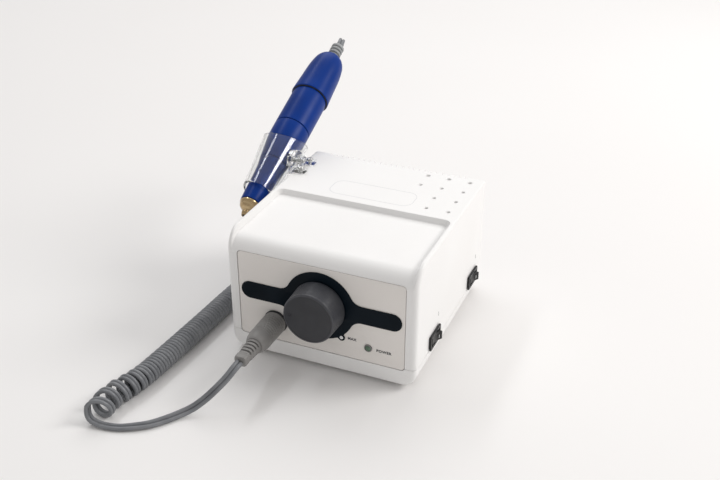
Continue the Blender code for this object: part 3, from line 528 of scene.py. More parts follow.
TAIL_ROUTE = (
    (-112.7, 122.9, 3.5), (-115.2, 130.2, 10.6), (-117.4, 136.2, 22.0), (-118.0, 141.0, 36.0),
    (-116.6, 145.4, 51.0), (-113.6, 149.8, 66.0), (-109.4, 154.2, 80.0), (-104.4, 158.0, 92.4),
    (-100.9, 160.0, 99.6), (-97.4, 161.6, 106.4), (-93.6, 162.7, 113.8), (-90.2, 163.2, 121.0),
    (-87.4, 162.7, 127.4), (-84.8, 160.6, 132.6), (-82.6, 156.4, 135.2), (-81.3, 151.6, 135.2),
    (-81.0, 145.4, 132.9),
)
COIL_RADIUS, OPEN_RADIUS = 5.95, 6.75
CLOSED_PITCH, OPEN_PITCH, OPEN_LENGTH = 5.12, 10.5, 46.0
COIL_LENGTH = 214.0
UNWIND = 13.0
SEAM_Z = 99.6


def smooth_route(points, spacing):
    """Evenly spaced points on a centripetal Catmull-Rom curve through a route's own points."""
    route = [Vector(point) for point in points]
    route = [2 * route[0] - route[1], *route, 2 * route[-1] - route[-2]]
    fine = []
    for a, b, c, d in zip(route, route[1:], route[2:], route[3:]):
        knots = [0.0]
        for p, q in ((a, b), (b, c), (c, d)):
            knots.append(knots[-1] + max((q - p).length, 1e-6) ** 0.5)
        for i in range(24):
            t = knots[1] + (knots[2] - knots[1]) * i / 24
            a1 = a.lerp(b, (t - knots[0]) / (knots[1] - knots[0]))
            a2 = b.lerp(c, (t - knots[1]) / (knots[2] - knots[1]))
            a3 = c.lerp(d, (t - knots[2]) / (knots[3] - knots[2]))
            b1 = a1.lerp(a2, (t - knots[0]) / (knots[2] - knots[0]))
            b2 = a2.lerp(a3, (t - knots[1]) / (knots[3] - knots[1]))
            fine.append(b1.lerp(b2, (t - knots[1]) / (knots[2] - knots[1])))
    fine.append(route[-2])
    return evenly(fine, spacing)


def evenly(fine, spacing):
    lengths = [0.0]
    for p, q in zip(fine, fine[1:]):
        lengths.append(lengths[-1] + (q - p).length)
    count = max(2, round(lengths[-1] / spacing))
    even, here = [], 0
    for i in range(count + 1):
        target = lengths[-1] * i / count
        while here < len(fine) - 2 and lengths[here + 1] < target:
            here += 1
        span = max(lengths[here + 1] - lengths[here], 1e-9)
        even.append(fine[here].lerp(fine[here + 1], (target - lengths[here]) / span))
    return even


def smoothstep(low, high, value):
    t = min(max((value - low) / (high - low), 0.0), 1.0)
    return t * t * (3 - 2 * t)


def coil_points():
    """The coiled stretch and the tail on the table: a helix about the centre line, then none."""
    centres = smooth_route(COIL_CENTRES, 0.16)
    points, along, turn = [], 0.0, -math.pi / 2
    for i, centre in enumerate(centres):
        ahead = centres[min(i + 1, len(centres) - 1)] - centres[max(i - 1, 0)]
        forward = ahead.normalized()
        side = forward.cross(Vector((0, 0, 1))).normalized()
        lift = side.cross(forward)
        opened = 1 - smoothstep(6.0, OPEN_LENGTH, along)
        wound = 1 - smoothstep(COIL_LENGTH - UNWIND, COIL_LENGTH, along)
        radius = (COIL_RADIUS + (OPEN_RADIUS - COIL_RADIUS) * opened
                  + 0.22 * opened * math.sin(1.7 * along)) * wound
        points.append(centre + side * (radius * math.cos(turn)) + lift * (radius * math.sin(turn)))
        pitch = CLOSED_PITCH + (OPEN_PITCH - CLOSED_PITCH) * opened
        pitch += 0.35 * opened * math.sin(0.55 * along) + 9.0 * (1 - wound)
        step = (centres[min(i + 1, len(centres) - 1)] - centre).length
        turn -= 2 * math.pi * step / pitch
        along += step
    return points


def wide_directions(path, wound_from, wound_to):
    """Which way the flat cord's width lies at each point.

    The lead leans, with its flat side to the front, and turns flat where the coil starts. In the
    coil the width lies along the coil.
    """
    up, lean = Vector((0, 0, 1)), Vector(LEAD_LEAN)
    wides = []
    for i, point in enumerate(path):
        tangent = (path[min(i + 1, len(path) - 1)] - path[max(i - 1, 0)]).normalized()
        if i < wound_from:
            wide = tangent.cross(lean.lerp(up, smoothstep(wound_from - 30, wound_from, i)))
        elif i <= wound_to:
            wide = Vector((0, 1, 0))
        else:
            wide = wides[-1]
        wide = wide - wide.dot(tangent) * tangent
        wide.normalize()
        if wides and wide.dot(wides[-1]) < 0:
            wide.negate()
        wides.append(wide)
    return wides


def flattened(path, wides, first):
    """Turns the cord slowly after `first`, so that it lies flat where it lies on the table."""
    up = Vector((0, 0, 1))
    turned_by = 0.0
    for i in range(first, len(path)):
        tangent = (path[min(i + 1, len(path) - 1)] - path[i - 1]).normalized()
        wide = wides[i]
        if path[i].z < 3.0 and abs(tangent.z) < 0.5:
            flat = tangent.cross(up).normalized()
            if flat.dot(wide) < 0:
                flat.negate()
            angle = wide.angle(flat)
            if wide.cross(flat).dot(tangent) < 0:
                angle = -angle
            turned_by += max(min(angle - turned_by, 0.12), -0.12)
        wides[i] = Matrix.Rotation(turned_by, 3, tangent) @ wide
    return wides


def twin_mesh(path, wides, groove_deg=14.0, lobe_steps=11):
    """Two round strands side by side, joined along a groove, as one closed mesh."""
    section = []
    for side in (1, -1):
        for i in range(lobe_steps + 1):
            angle = math.radians(-180 + groove_deg + (360 - 2 * groove_deg) * i / lobe_steps)
            section.append((side * (STRAND_R + STRAND_R * math.cos(angle)),
                            side * STRAND_R * math.sin(angle)))
    count = len(section)
    points, faces = [], []
    for i, (point, wide) in enumerate(zip(path, wides)):
        tangent = (path[min(i + 1, len(path) - 1)] - path[max(i - 1, 0)]).normalized()
        thick = tangent.cross(wide)
        points += [point + wide * w + thick * t for w, t in section]
    for i in range(len(path) - 1):
        for k in range(count):
            n = (k + 1) % count
            faces.append((i * count + k, i * count + n, (i + 1) * count + n, (i + 1) * count + k))
    faces.append(tuple(range(count))[::-1])
    faces.append(tuple(range((len(path) - 1) * count, len(path) * count)))
    return mesh_from("twin_cord", points, faces)


def ease(path, joined, rounds):
    """Evens out the bend where two stretches of the cord join."""
    for _ in range(rounds):
        eased = {i: (path[i - 1] + 2 * path[i] + path[i + 1]) / 4 for i in joined}
        for i, point in eased.items():
            path[i] = point


def cords():
    """One continuous cord, in four pieces that meet where it changes body."""
    lead = smooth_route(LEAD_ROUTE, 1.6)[:-1]
    coil = evenly(coil_points(), 1.6)
    tail = smooth_route(TAIL_ROUTE, 1.6)[1:]
    path = lead + coil + tail
    ease(path, range(max(len(lead) - 9, 1), len(lead) + 9), 12)
    ease(path, range(len(lead) + len(coil) - 8, len(lead) + len(coil) + 8), 8)
    unwound = next(i for i in range(len(lead) + 100, len(path)) if path[i].y > 50.0)
    wides = wide_directions(path, len(lead), unwound)
    wides = flattened(path, wides, unwound)

    seam = next(i for i in range(len(lead) + len(coil), len(path)) if path[i].z > SEAM_Z)
    spans = {"lead_cord": (0, len(lead)),
             "coil_cord": (len(lead), len(lead) + len(coil)),
             "hanging_cord": (len(lead) + len(coil), seam),
             "handpiece_cord": (seam, len(path) - 1)}
    made, routes = {}, {}
    for name, (first, last) in spans.items():
        span = path[first:last + 1]
        mesh = twin_mesh(span, wides[first:last + 1])
        made[name] = bpy.data.objects.new(name, mesh)
        bpy.context.scene.collection.objects.link(made[name])
        made[name].matrix_world = HERE
        mesh.materials.append(CORD)
        mesh.shade_smooth()
        mesh.set_sharp_from_angle(angle=math.radians(50))
        routes[name] = [at(*point) for point in span]
    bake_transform(made["lead_cord"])
    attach(made["coil_cord"], "control_box")
    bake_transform(made["hanging_cord"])
    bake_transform(made["handpiece_cord"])
    for name, nodes in (("lead_cord", ["plug_lead"]),
                        ("coil_cord", ["cord_coil", "tail_on_floor"]),
                        ("hanging_cord", ["tail_hanging"]),
                        ("handpiece_cord", ["tail_at_handpiece"])):
        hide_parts(*nodes)


# ---------------------------------------------------------------- control box

HALF_W, HALF_D, TOP, FLOOR_GAP = 62.5, 66.2, 83.8, 2.8
SEAM, SEAM_GAP = 15.0, 0.3
RECESS_BACK, RECESS_SIDE, RECESS_DEPTH, RECESS_CORNER = 0.2, 59.3, 3.6, 4.0
FRONT_RADIUS, RECESS_RADIUS, REAR_RADIUS = 13.5, 11.4, 2.4
SIDE_EDGE, PLAN_EDGE = 1.2, 3.5
BUR_X, BUR_Y, BUR_PITCH_X, BUR_PITCH_Y = 24.3, 11.4, 14.75, 15.2
BUR_SPOTS = ((0, 3), (1, 3), (2, 3), (0, 2), (1, 2), (2, 2), (1, 1), (2, 1), (1, 0), (2, 0))
SWITCHES = {"power": 43.2, "direction": -34.2}
SWITCH_Z = 20.2


def block_with_soft_ends(rows, stations, half, axis, shape=None):
    """A closed block: a row of profile points swept across, with its two ends rounded.

    rows lists (u, v, inward normal, end radius, sunk point). stations are the inner places from
    -1 to 1. shape(across, row) says how far a point has moved towards its sunk point.
    """
    ends = 5
    angles = [math.pi / 2 * k / ends for k in range(1, ends + 1)]
    lines = ([(-1, a) for a in reversed(angles)] + [(s, 0.0) for s in stations]
             + [(1, a) for a in angles])
    points = []
    for s, angle in lines:
        for u, v, (nu, nv), radius, sunk in rows:
            across = s * (half - radius) + (math.copysign(radius * math.sin(angle), s) if angle
                                            else 0.0)
            depth = shape(across, (u, v)) if shape else 0.0
            u1, v1 = u + (sunk[0] - u) * depth, v + (sunk[1] - v) * depth
            inset = radius * (1 - math.cos(angle))
            u1, v1 = u1 + nu * inset, v1 + nv * inset
            points.append((across, u1, v1) if axis == "X" else (u1, across, v1))
    count = len(rows)
    faces = []
    for i in range(len(lines) - 1):
        for j in range(count - 1):
            a = i * count + j
            faces.append((a, a + 1, a + count + 1, a + count))
    faces.append(tuple(range(count)))
    faces.append(tuple(range((len(lines) - 1) * count, len(lines) * count)))
    faces.append(tuple([i * count for i in range(len(lines))]
                       + [i * count + count - 1 for i in reversed(range(len(lines)))]))
    return mesh_from("soft_block", points, faces)


def recess_depth(across, point):
    """0 on the rim and 1 in the recess, with a soft step between them along a rounded outline."""
    y = point[0]
    dx = RECESS_SIDE - abs(across)
    dy = RECESS_BACK - y
    if dx < RECESS_CORNER and dy < RECESS_CORNER:
        inside = RECESS_CORNER - math.hypot(RECESS_CORNER - dx, RECESS_CORNER - dy)
    else:
        inside = min(dx, dy)
    return smoothstep(-0.75, 0.75, inside)


def cover_rows():
    """The cover's side view from the front's foot, over the top, to the rear's foot."""
    low = SEAM + SEAM_GAP / 2
    floor_z = TOP - RECESS_DEPTH
    front_c = (-HALF_D + FRONT_RADIUS, TOP - FRONT_RADIUS)
    sunk_c = (-HALF_D - 0.2 + RECESS_RADIUS, floor_z - RECESS_RADIUS)
    rows = []
    for z in (low, low + 10, 30, 45, 58, 66, sunk_c[1]):
        rows.append((-HALF_D, z, (1, 0), PLAN_EDGE, (-HALF_D, z)))
    for i in range(17):
        angle = math.radians(180 - 90 * i / 16)
        ca, sa = math.cos(angle), math.sin(angle)
        edge = PLAN_EDGE + (SIDE_EDGE - PLAN_EDGE) * smoothstep(0, 16, i)
        sunk = (max(sunk_c[0] + RECESS_RADIUS * ca, -HALF_D), sunk_c[1] + RECESS_RADIUS * sa)
        rows.append((front_c[0] + FRONT_RADIUS * ca, front_c[1] + FRONT_RADIUS * sa, (-ca, -sa),
                     edge, sunk))
    flat = [-50 + 5 * i for i in range(9)] + [-5 + 0.35 * i for i in range(19)]
    flat += [4, 12, 24, 36, 48]
    flat += [58, 62]
    for y in flat:
        back = 2.3 * (1 - smoothstep(-52.7, -30, y))
        rows.append((y, TOP, (0, -1), SIDE_EDGE, (y - back, floor_z)))
    rear_c = (HALF_D - REAR_RADIUS, TOP - REAR_RADIUS)
    for i in range(7):
        angle = math.radians(90 - 90 * i / 6)
        ca, sa = math.cos(angle), math.sin(angle)
        edge = SIDE_EDGE + (PLAN_EDGE - SIDE_EDGE) * i / 6
        spot = (rear_c[0] + REAR_RADIUS * ca, rear_c[1] + REAR_RADIUS * sa)
        rows.append((*spot, (-ca, -sa), edge, spot))
    for z in (66, 45, 30, low):
        rows.append((HALF_D, z, (-1, 0), PLAN_EDGE, (HALF_D, z)))
    return rows


def top_cover():
    fine = [57.3 + 0.34 * i for i in range(12)]
    near = [54.0, 54.6, 55.1, 55.6, 56.1, 56.7]
    coarse = [8.0 * i for i in range(-6, 7)]
    edges = [v / (HALF_W - SIDE_EDGE) for v in near + fine if v < HALF_W - SIDE_EDGE]
    stations = sorted([-v for v in edges] + [v / (HALF_W - SIDE_EDGE) for v in coarse] + edges)
    stations = [-1.0, *stations, 1.0]
    skin = block_with_soft_ends(cover_rows(), stations, HALF_W, "X", recess_depth)
    inner, deep, floor_z = HALF_W - 3, HALF_D - 3, TOP - RECESS_DEPTH
    slots = [block((-50.2 + 4.1 * i, HALF_D - 3.8, 66), (-48.2 + 4.1 * i, HALF_D + 2, TOP + 2))
             for i in range(25)]
    holes = [moved(peg(1.45 if j == 3 else 1.2, 66, TOP + 1, 24),
                   BUR_X + BUR_PITCH_X * i, BUR_Y + BUR_PITCH_Y * j) for i, j in BUR_SPOTS]
    mouths = [moved(lathe([(0, 0.6), (r + 0.65, 0.6), (r + 0.05, -0.45), (0, -0.45)], 24, 0),
                    BUR_X + BUR_PITCH_X * i, BUR_Y + BUR_PITCH_Y * j, TOP)
              for i, j in BUR_SPOTS for r in [1.45 if j == 3 else 1.2]]
    windows = [block((HALF_W - 6, y - 8.4, SWITCH_Z - 4.2), (HALF_W + 5, y + 8.4, SWITCH_Z + 4.2))
               for y in SWITCHES.values()]
    rear = facing((0, 0, 32 * MM), (0, 1, 0), (1, 0, 0))
    rear_holes = [peg(6.2, deep - 2, HALF_D + 2, 40, rear),
                  moved(peg(4.3, deep - 2, HALF_D + 2, 32, rear), -30),
                  block((30 - 13.8, deep - 2, 22), (30 + 13.8, HALF_D + 2, 42))]
    window = plate([rounded_box((-55.4, 5), (55.4, 72.7), 2.6)], "Y", -HALF_D - 4, -deep + 4)
    whole = combined(
        skin,
        (CUT, block((-inner, 3.6, 5), (inner, deep, TOP - 3))),
        (CUT, plate([[(-deep, 5), (4.2, 5), (4.2, floor_z - 3), (-54, floor_z - 3),
                      (-59, floor_z - 5.4), (-62, floor_z - 9.6), (-deep, floor_z - 14)]],
                    "X", -inner, inner)),
        (CUT, window),
        (JOIN, block((19, 6.5, 63.8), (inner + 0.4, 62.0, TOP - 2))),
        (CUT, merged(*slots)), (CUT, merged(*holes)), (CUT, merged(*mouths)),
        (CUT, merged(*windows)), (CUT, merged(*rear_holes)))
    finished("cover_shell", whole, WHITE, HERE, "control_box", ["top_cover"], 24)


def base_tray():
    low, high, corner = FLOOR_GAP, SEAM - SEAM_GAP / 2, 9.0
    rows = [(HALF_W, high, (-1, 0), PLAN_EDGE, (0, 0))]
    for sign, order in ((1, range(11)), (-1, reversed(range(11)))):
        for i in order:
            angle = math.radians(-90 * i / 10)
            ca, sa = math.cos(angle), math.sin(angle)
            edge = PLAN_EDGE + (SIDE_EDGE - PLAN_EDGE) * smoothstep(0, 10, i)
            rows.append((sign * (HALF_W - corner + corner * ca), low + corner + corner * sa,
                         (-sign * ca, -sa), edge, (0, 0)))
        if sign == 1:
            for x in (36, 18, 0, -18, -36):
                rows.append((x, low, (0, 1), SIDE_EDGE, (0, 0)))
    rows.append((-HALF_W, high, (1, 0), PLAN_EDGE, (0, 0)))
    skin = block_with_soft_ends(rows, [-1, -0.7, -0.35, 0, 0.35, 0.7, 1], HALF_D, "Y")
    inner, deep = HALF_W - 3, HALF_D - 3
    corners = [(x, y) for x in (-55, 55) for y in (-57, 57)]
    feet = [(x, y) for x in (-46, 46) for y in (-48, 48)]
    whole = combined(
        skin,
        (CUT, block((-inner, -deep, low + 2.6), (inner, deep, 40))),
        (CUT, plate([rounded_box((-55.4, 13.3), (55.4, 60), 2.4)], "Y", -HALF_D - 4, -deep + 4)),
        (JOIN, merged(*[moved(peg(4.6, low + 1.5, high), x, y) for x, y in corners])),
        (CUT, merged(*[moved(peg(1.9, 0, 30, 24), x, y) for x, y in corners])),
        (CUT, merged(*[moved(peg(3.4, 0, 6.4, 32), x, y) for x, y in corners])),
        (CUT, merged(*[moved(peg(6.9, 0, low + 1.0, 48), x, y) for x, y in feet])))
    finished("tray_shell", whole, WHITE, HERE, "control_box", ["base_tray"], 24)


def front_panel():
    holes = [circle((knob.x, knob.z), 5.0), circle((socket.x, socket.z), 7.2),
             circle((lamp.x, lamp.z), 2.45)]
    mesh = plate([rounded_box((-55.0, 13.6), (55.0, 72.4), 2.2), *holes], "Y", -66.0, -63.6, 0.3)
    finished("panel_plate", mesh, PANEL, HERE, "control_box", ["front_panel"])


DECAL_R, ARM_HALF, ARM_TIP, ARM_FILLET = 23.0, 5.9, 53.2, 7.7
MARK = (14.3, -19.2)
MARK_R = 2.3


def film_outline():
    """A disc round the knob with two round-ended arms, and a lobe round the end mark."""
    reach = math.sqrt((DECAL_R + ARM_FILLET) ** 2 - (ARM_HALF + ARM_FILLET) ** 2)
    drop = math.degrees(math.atan2(ARM_HALF + ARM_FILLET, reach))
    end = ARM_TIP - ARM_HALF
    distance, direction = math.hypot(*MARK), math.degrees(math.atan2(MARK[1], MARK[0])) % 360

    def disc(start, stop, steps):
        points = []
        for i in range(steps + 1):
            angle = start + (stop - start) * i / steps
            off = math.radians((angle - direction + 180) % 360 - 180)
            inside = MARK_R ** 2 - (distance * math.sin(off)) ** 2
            lobe = distance * math.cos(off) + math.sqrt(inside) if inside > 0 else 0.0
            away = abs(off) * distance
            blend = DECAL_R + 2.0 * math.exp(-(away / 1.9) ** 2) if away < 6 else DECAL_R
            r = max(DECAL_R, lobe, blend)
            points.append((r * math.cos(math.radians(angle)), r * math.sin(math.radians(angle))))
        return points

    whole = arc((reach, ARM_HALF + ARM_FILLET), ARM_FILLET, 270, 180 + drop, 10)
    whole += disc(drop, 180 - drop, 50)[1:-1]
    whole += arc((-reach, ARM_HALF + ARM_FILLET), ARM_FILLET, -drop, -90, 10)
    whole += arc((-end, 0), ARM_HALF, 90, 270, 20)
    whole += arc((-reach, -ARM_HALF - ARM_FILLET), ARM_FILLET, 90, drop, 10)
    whole += disc(180 + drop, 360 - drop, 150)[1:-1]
    whole += arc((reach, -ARM_HALF - ARM_FILLET), ARM_FILLET, 180 - drop, 90, 10)
    whole += arc((end, 0), ARM_HALF, -90, 90, 20)
    return [(x + knob.x, z + knob.z) for x, z in whole]


def lettering(name, text, height, spot, look, body, matrix=None, thick=0.06):
    """Printed capitals, whose lower left corner is at the spot, drawn in (x, z) on the front."""
    curve = bpy.data.curves.new(name, "FONT")
    curve.body, curve.size = text, height / 0.73 * MM
    curve.extrude, curve.space_character = thick / 2 * MM, 1.16
    curve.offset = 0.11 * MM
    curve.resolution_u = 4
    holder = bpy.data.objects.new(name, curve)
    bpy.context.scene.collection.objects.link(holder)
    bpy.context.view_layer.update()
    mesh = bpy.data.meshes.new_from_object(
        holder.evaluated_get(bpy.context.evaluated_depsgraph_get()))
    bpy.data.objects.remove(holder, do_unlink=True)
    mesh.transform(FACING["Y"])
    x, y, z = spot
    mesh.transform(Matrix.Translation(Vector((x, y, z)) * MM))
    return finished(name, mesh, look, matrix or HERE, body)


def film_and_marks():
    film = plate([film_outline(), circle((knob.x, knob.z), 5.0)], "Y", -66.52, -66.22, 0.07, 2)
    finished("panel_film", film, FILM, HERE, "control_box", ["panel_overlay"])
    dot = plate([circle((knob.x + MARK[0], knob.z + MARK[1]), 1.15, 32)], "Y", -66.6, -66.52, 0.02)
    finished("end_mark", dot, WHITE_INK, HERE, "control_box")
    lettering("max_mark", "MAX", 1.75, (18.3, -66.03, 26.8), INK, "control_box")
    lettering("power_mark", "POWER", 1.85, (37.0, -66.03, 22.7), INK, "control_box")


def badge_and_switch_marks():
    badge = plate([rounded_box((-29, 8), (29, 28), 7, 14), rounded_box((-28.7, 8.3), (28.7, 27.7),
                  6.7, 14)], "Z", TOP - 0.02, TOP + 0.03)
    finished("badge_outline", badge, FAINT_INK, HERE, "control_box")
    for name, y in SWITCHES.items():
        bar = plate([rounded_box((y + 7.9, 31.0), (y + 8.4, 34.0), 0.2, 3)], "X", HALF_W - 0.02,
                    HALF_W + 0.05)
        finished(f"{name}_wall_mark", bar, INK, HERE, "control_box")


def feet_and_screws():
    for name in ("front_left", "rear_left", "front_right", "rear_right"):
        spot = local(middle(f"foot_{name}") * MM)
        foot = lathe([(0, 3.5), (6.5, 3.5), (6.5, 1.0), (5.8, 0.0), (4.2, 0.0), (3.9, 0.4),
                      (0, 0.4)], 64, 0.3)
        finished(f"foot_pad_{name}", moved(foot, spot.x, spot.y), RUBBER, HERE, "control_box",
                 [f"foot_{name}"])
        spot = local(middle(f"case_screw_{name}") * MM)
        screw = lathe([(0, 22), (1.2, 22), (1.5, 21), (1.5, 6.1), (2.9, 6.1), (2.9, 4.7),
                       (1.6, 3.9), (0, 3.9)], 32, 0.12)
        for x, y in ((1.7, 0.32), (0.32, 1.7)):
            screw = combined(screw, (CUT, block((-x, -y, 2.0), (x, y, 4.9))))
        finished(f"cross_screw_{name}", moved(screw, spot.x, spot.y), STEEL, HERE, "control_box",
                 [f"case_screw_{name}"])


def speed_knob():
    grooves = []
    back, face, base_r, face_r = 67.3, 82.7, 17.2, 16.5
    for i in range(22):
        h = face - 1.1 - 0.6 * i
        r = face_r + (base_r - face_r) * (face - h) / (face - back)
        grooves += [(r, h), (r, h - 0.36), (r - 0.07, h - 0.42), (r - 0.07, h - 0.54)]
    profile = [(0, face - 0.25), (face_r - 1.5, face - 0.25), (face_r - 1.1, face),
               (face_r - 0.4, face),
               (face_r, face - 0.5), *grooves, (base_r, back + 0.5), (base_r - 0.3, back),
               (14.6, back), (14.2, face - 3.6), (6, face - 3.6), (6, back + 3.2),
               (3.3, back + 3.2),
               (3.3, face - 3), (0, face - 3)]
    body = lathe(profile, 128, 0.05)
    dimple = moved(lathe([(0, 1.6), (1.2, 1.6), (1.25, 0.0), (1.0, -0.45), (0, -0.6)], 32, 0.1),
                   -12.3, 0, face - 0.2)
    made = finished("knob_cap", combined(body, (CUT, dimple)), KNOB_SIDE, KNOB, "knob",
                    ["speed_knob"])
    made.data.materials.append(KNOB_FACE)
    for polygon in made.data.polygons:
        near = polygon.center.z > (face - 1.4) * MM and polygon.normal.z > 0.5
        if near and math.hypot(polygon.center.x, polygon.center.y) < (face_r - 0.9) * MM:
            polygon.material_index = 1
    bead = lathe([(0, 0.35), (0.35, 0.25), (0.5, 0.0), (0, 0.0)], 24, 0.1)
    bead = moved(bead, -12.3, 0, face - 0.62)
    finished("knob_bead", bead, KNOB_SIDE, KNOB, "knob")


def socket_and_plug():
    ring = lathe([(5.6, 67.4), (7.2, 67.4), (7.9, 66.9), (7.9, 66.3), (6.9, 66.3), (6.9, 50.0),
                  (0, 50.0), (0, 52.0), (5.6, 52.0)], 72, 0.25, ring=True)
    finished("socket_gasket", ring, BLACK, SOCKET, "control_box",
             ["output_socket"])
    bands = []
    for i in range(9):
        h = 86.6 - 1.95 * i
        r = 7.4 + 0.013 * (86.6 - h)
        bands += [(r - 0.05, h), (r, h - 0.2), (r, h - 1.25), (r - 0.05, h - 1.45),
                  (r - 0.34, h - 1.55), (r - 0.34, h - 1.85)]
    profile = [(0, 94.8), (5.2, 94.8), (6.0, 94.0), (6.9, 91.6), (7.35, 89.0), (7.4, 87.2),
               *bands, (7.62, 68.6), (7.4, 67.8), (5.5, 67.8), (5.5, 69), (0, 69)]
    finished("plug_shell", lathe(profile, 96, 0.15), PLUG, SOCKET, "plug",
             ["plug_housing"])
    plug_boot()


def plug_boot():
    """The slotted boot: round at the housing and squarish at the cord."""
    stations = [(95.1, 4.75, 4.75, 2.2), (96.0, 4.8, 4.8, 2.3), (99.0, 4.5, 4.5, 2.6),
                (103.0, 4.1, 4.05, 3.0), (107.4, 3.7, 3.6, 3.4), (107.9, 3.55, 3.4, 3.6),
                (108.4, 3.95, 3.55, 4.0), (111.6, 3.9, 3.5, 4.0), (112.3, 3.7, 3.3, 4.0),
                (112.5, 3.3, 2.9, 4.0)]
    steps, points, faces = 64, [], []
    for h, half_x, half_y, power in stations:
        for k in range(steps):
            turn = 2 * math.pi * k / steps
            c, s = math.cos(turn), math.sin(turn)
            r = (abs(c) ** power + abs(s) ** power) ** (-1 / power)
            points.append((half_x * r * c, half_y * r * s, h))
    for i in range(len(stations) - 1):
        for k in range(steps):
            n = (k + 1) % steps
            faces.append((i * steps + k, i * steps + n, (i + 1) * steps + n, (i + 1) * steps + k))
    faces.append(tuple(range(steps)))
    faces.append(tuple(range((len(stations) - 1) * steps, len(stations) * steps)))
    body = mesh_from("boot", points, faces)
    slots = []
    for i in range(4):
        h = 96.9 + 2.75 * i
        for low, high in ((1.5, 7.0), (-7.0, -1.5)):
            slots.append(block((-6.0, low, h), (6.0, high, h + 1.25)))
    finished("plug_boot_slotted", combined(body, (CUT, merged(*slots))), PLUG, SOCKET, "plug",
             ["plug_boot"])


def power_lamp():
    holder = lathe([(1.98, 66.75), (2.2, 66.75), (2.5, 66.55), (2.5, 66.3), (2.2, 66.3),
                    (2.2, 61.6), (1.98, 61.6)], 48, 0.1, ring=True)
    finished("lamp_ring", holder, PLUG, LAMP, "control_box", ["led_holder"])
    dome = [(1.9 * math.sin(math.radians(a)), 66.2 + 1.1 * math.cos(math.radians(a)))
            for a in range(0, 91, 10)]
    finished("lamp_dome", lathe([*dome, (1.9, 61.0), (0, 61.0)], 40, 0.05), LENS, LAMP,
             "control_box", ["led_lens"])


def rocker_switches():
    for name, y in SWITCHES.items():
        z = SWITCH_Z
        frame_plate = plate([rounded_box((y - 9.2, z - 5.1), (y + 9.2, z + 5.1), 1.0)], "X",
                            HALF_W + 0.3, HALF_W + 1.7, 0.4)
        body = combined(
            block((49.0, y - 8.1, z - 3.9), (HALF_W + 0.9, y + 8.1, z + 3.9)), (JOIN, frame_plate),
            (CUT, plate([rounded_box((y - 7.3, z - 3.3), (y + 7.3, z + 3.3), 0.5)], "X", 54.6,
                        HALF_W + 5)))
        finished(f"{name}_frame", body, BLACK, HERE, "control_box",
                 [f"{name}_switch_body"])
        pivot = local(joint(f"{name}_press")["pos_m"])
        swing = Matrix.Rotation(math.radians(-11.0), 4, "Z")
        here = Matrix.Translation(at(*pivot)) @ swing
        hollow = [(6.2 - 1.55 * (1 - (v / 5.5) ** 2), v) for v in
                  [5.5 - 1.1 * i for i in range(11)]]
        outline = [(6.2, 5.75), *hollow[1:-1], (6.2, -5.75), (-1.2, -5.3), (-3.4, -2.2),
                   (-3.4, 2.2),
                   (-1.2, 5.3)]
        key = plate([outline], "Z", -3.0, 3.0, 0.28)
        finished(f"{name}_key", key, BLACK, here, f"{name}_rocker",
                 [f"{name}_rocker"])
        bar = moved(block((5.30, 3.0, -1.1), (5.62, 3.35, 1.1), 0.04), 0.05)
        finished(f"{name}_on_mark", bar, WHITE_INK, here, f"{name}_rocker")


# ---------------------------------------------------------------- cradle

CUP_LOW, CUP_LOW_R, CUP_MOUTH, CUP_MOUTH_R = 22.1, 10.75, 70.4, 15.9
CUP_WALL, CUP_EDGE = 1.5, 0.35
BRACKET_SCREW_X, BRACKET_SCREW_YS = -57.4, (28.6, 43.4)


def cradle_cup():
    """A clear cone whose mouth is cut level, with eased rims and a boss at its side."""
    slope = (CUP_MOUTH_R - CUP_LOW_R) / (CUP_MOUTH - CUP_LOW)
    slant = drill_axis.z / math.hypot(drill_axis.x, drill_axis.y)
    steps = 96
    levels = ([0.0, 0.012, 0.03, 0.05] + [0.05 + 0.93 * i / 14 for i in range(1, 15)]
              + [0.99, 1.0])
    points, rings_made = [], []

    def ring(level, inset):
        """One ring of points: `level` is 0 at the small end and 1 at the mouth."""
        rings_made.append(len(points))
        for k in range(steps):
            turn = 2 * math.pi * k / steps
            mouth = CUP_MOUTH + slant * CUP_MOUTH_R * math.sin(turn)
            s = CUP_LOW + level * (mouth - CUP_LOW)
            r = CUP_LOW_R + slope * (s - CUP_LOW) - inset
            points.append((r * math.cos(turn), r * math.sin(turn), s))

    for level in levels:
        ring(level, CUP_EDGE if level in (0.0, 1.0) else 0.0)
    for level in reversed(levels):
        ring(level, CUP_WALL - (CUP_EDGE if level in (0.0, 1.0) else 0.0))
    faces = []
    for a, b in zip(rings_made, rings_made[1:] + rings_made[:1]):
        for k in range(steps):
            n = (k + 1) % steps
            faces.append((a + k, a + n, b + n, b + k))
    cup = mesh_from("cup", points, faces)
    cup.transform(DRILL)
    boss = peg(6.5, -HALF_W - 5.9, -HALF_W - 3.2, 64, TILT)
    bore = peg(1.9, -HALF_W - 12, -HALF_W, 32, TILT)
    hollow_r = CUP_LOW_R - CUP_WALL
    core = lathe([(0, CUP_MOUTH + 12), (hollow_r + slope * (CUP_MOUTH + 12 - CUP_LOW),
                  CUP_MOUTH + 12), (hollow_r, CUP_LOW), (0, CUP_LOW)], steps, 0.0)
    core.transform(DRILL)
    boss = combined(boss, (CUT, core))
    whole = combined(cup, (JOIN, boss), (CUT, bore))
    finished("cup_clear", whole, CLEAR, None, "cradle", ["cradle_cup"])


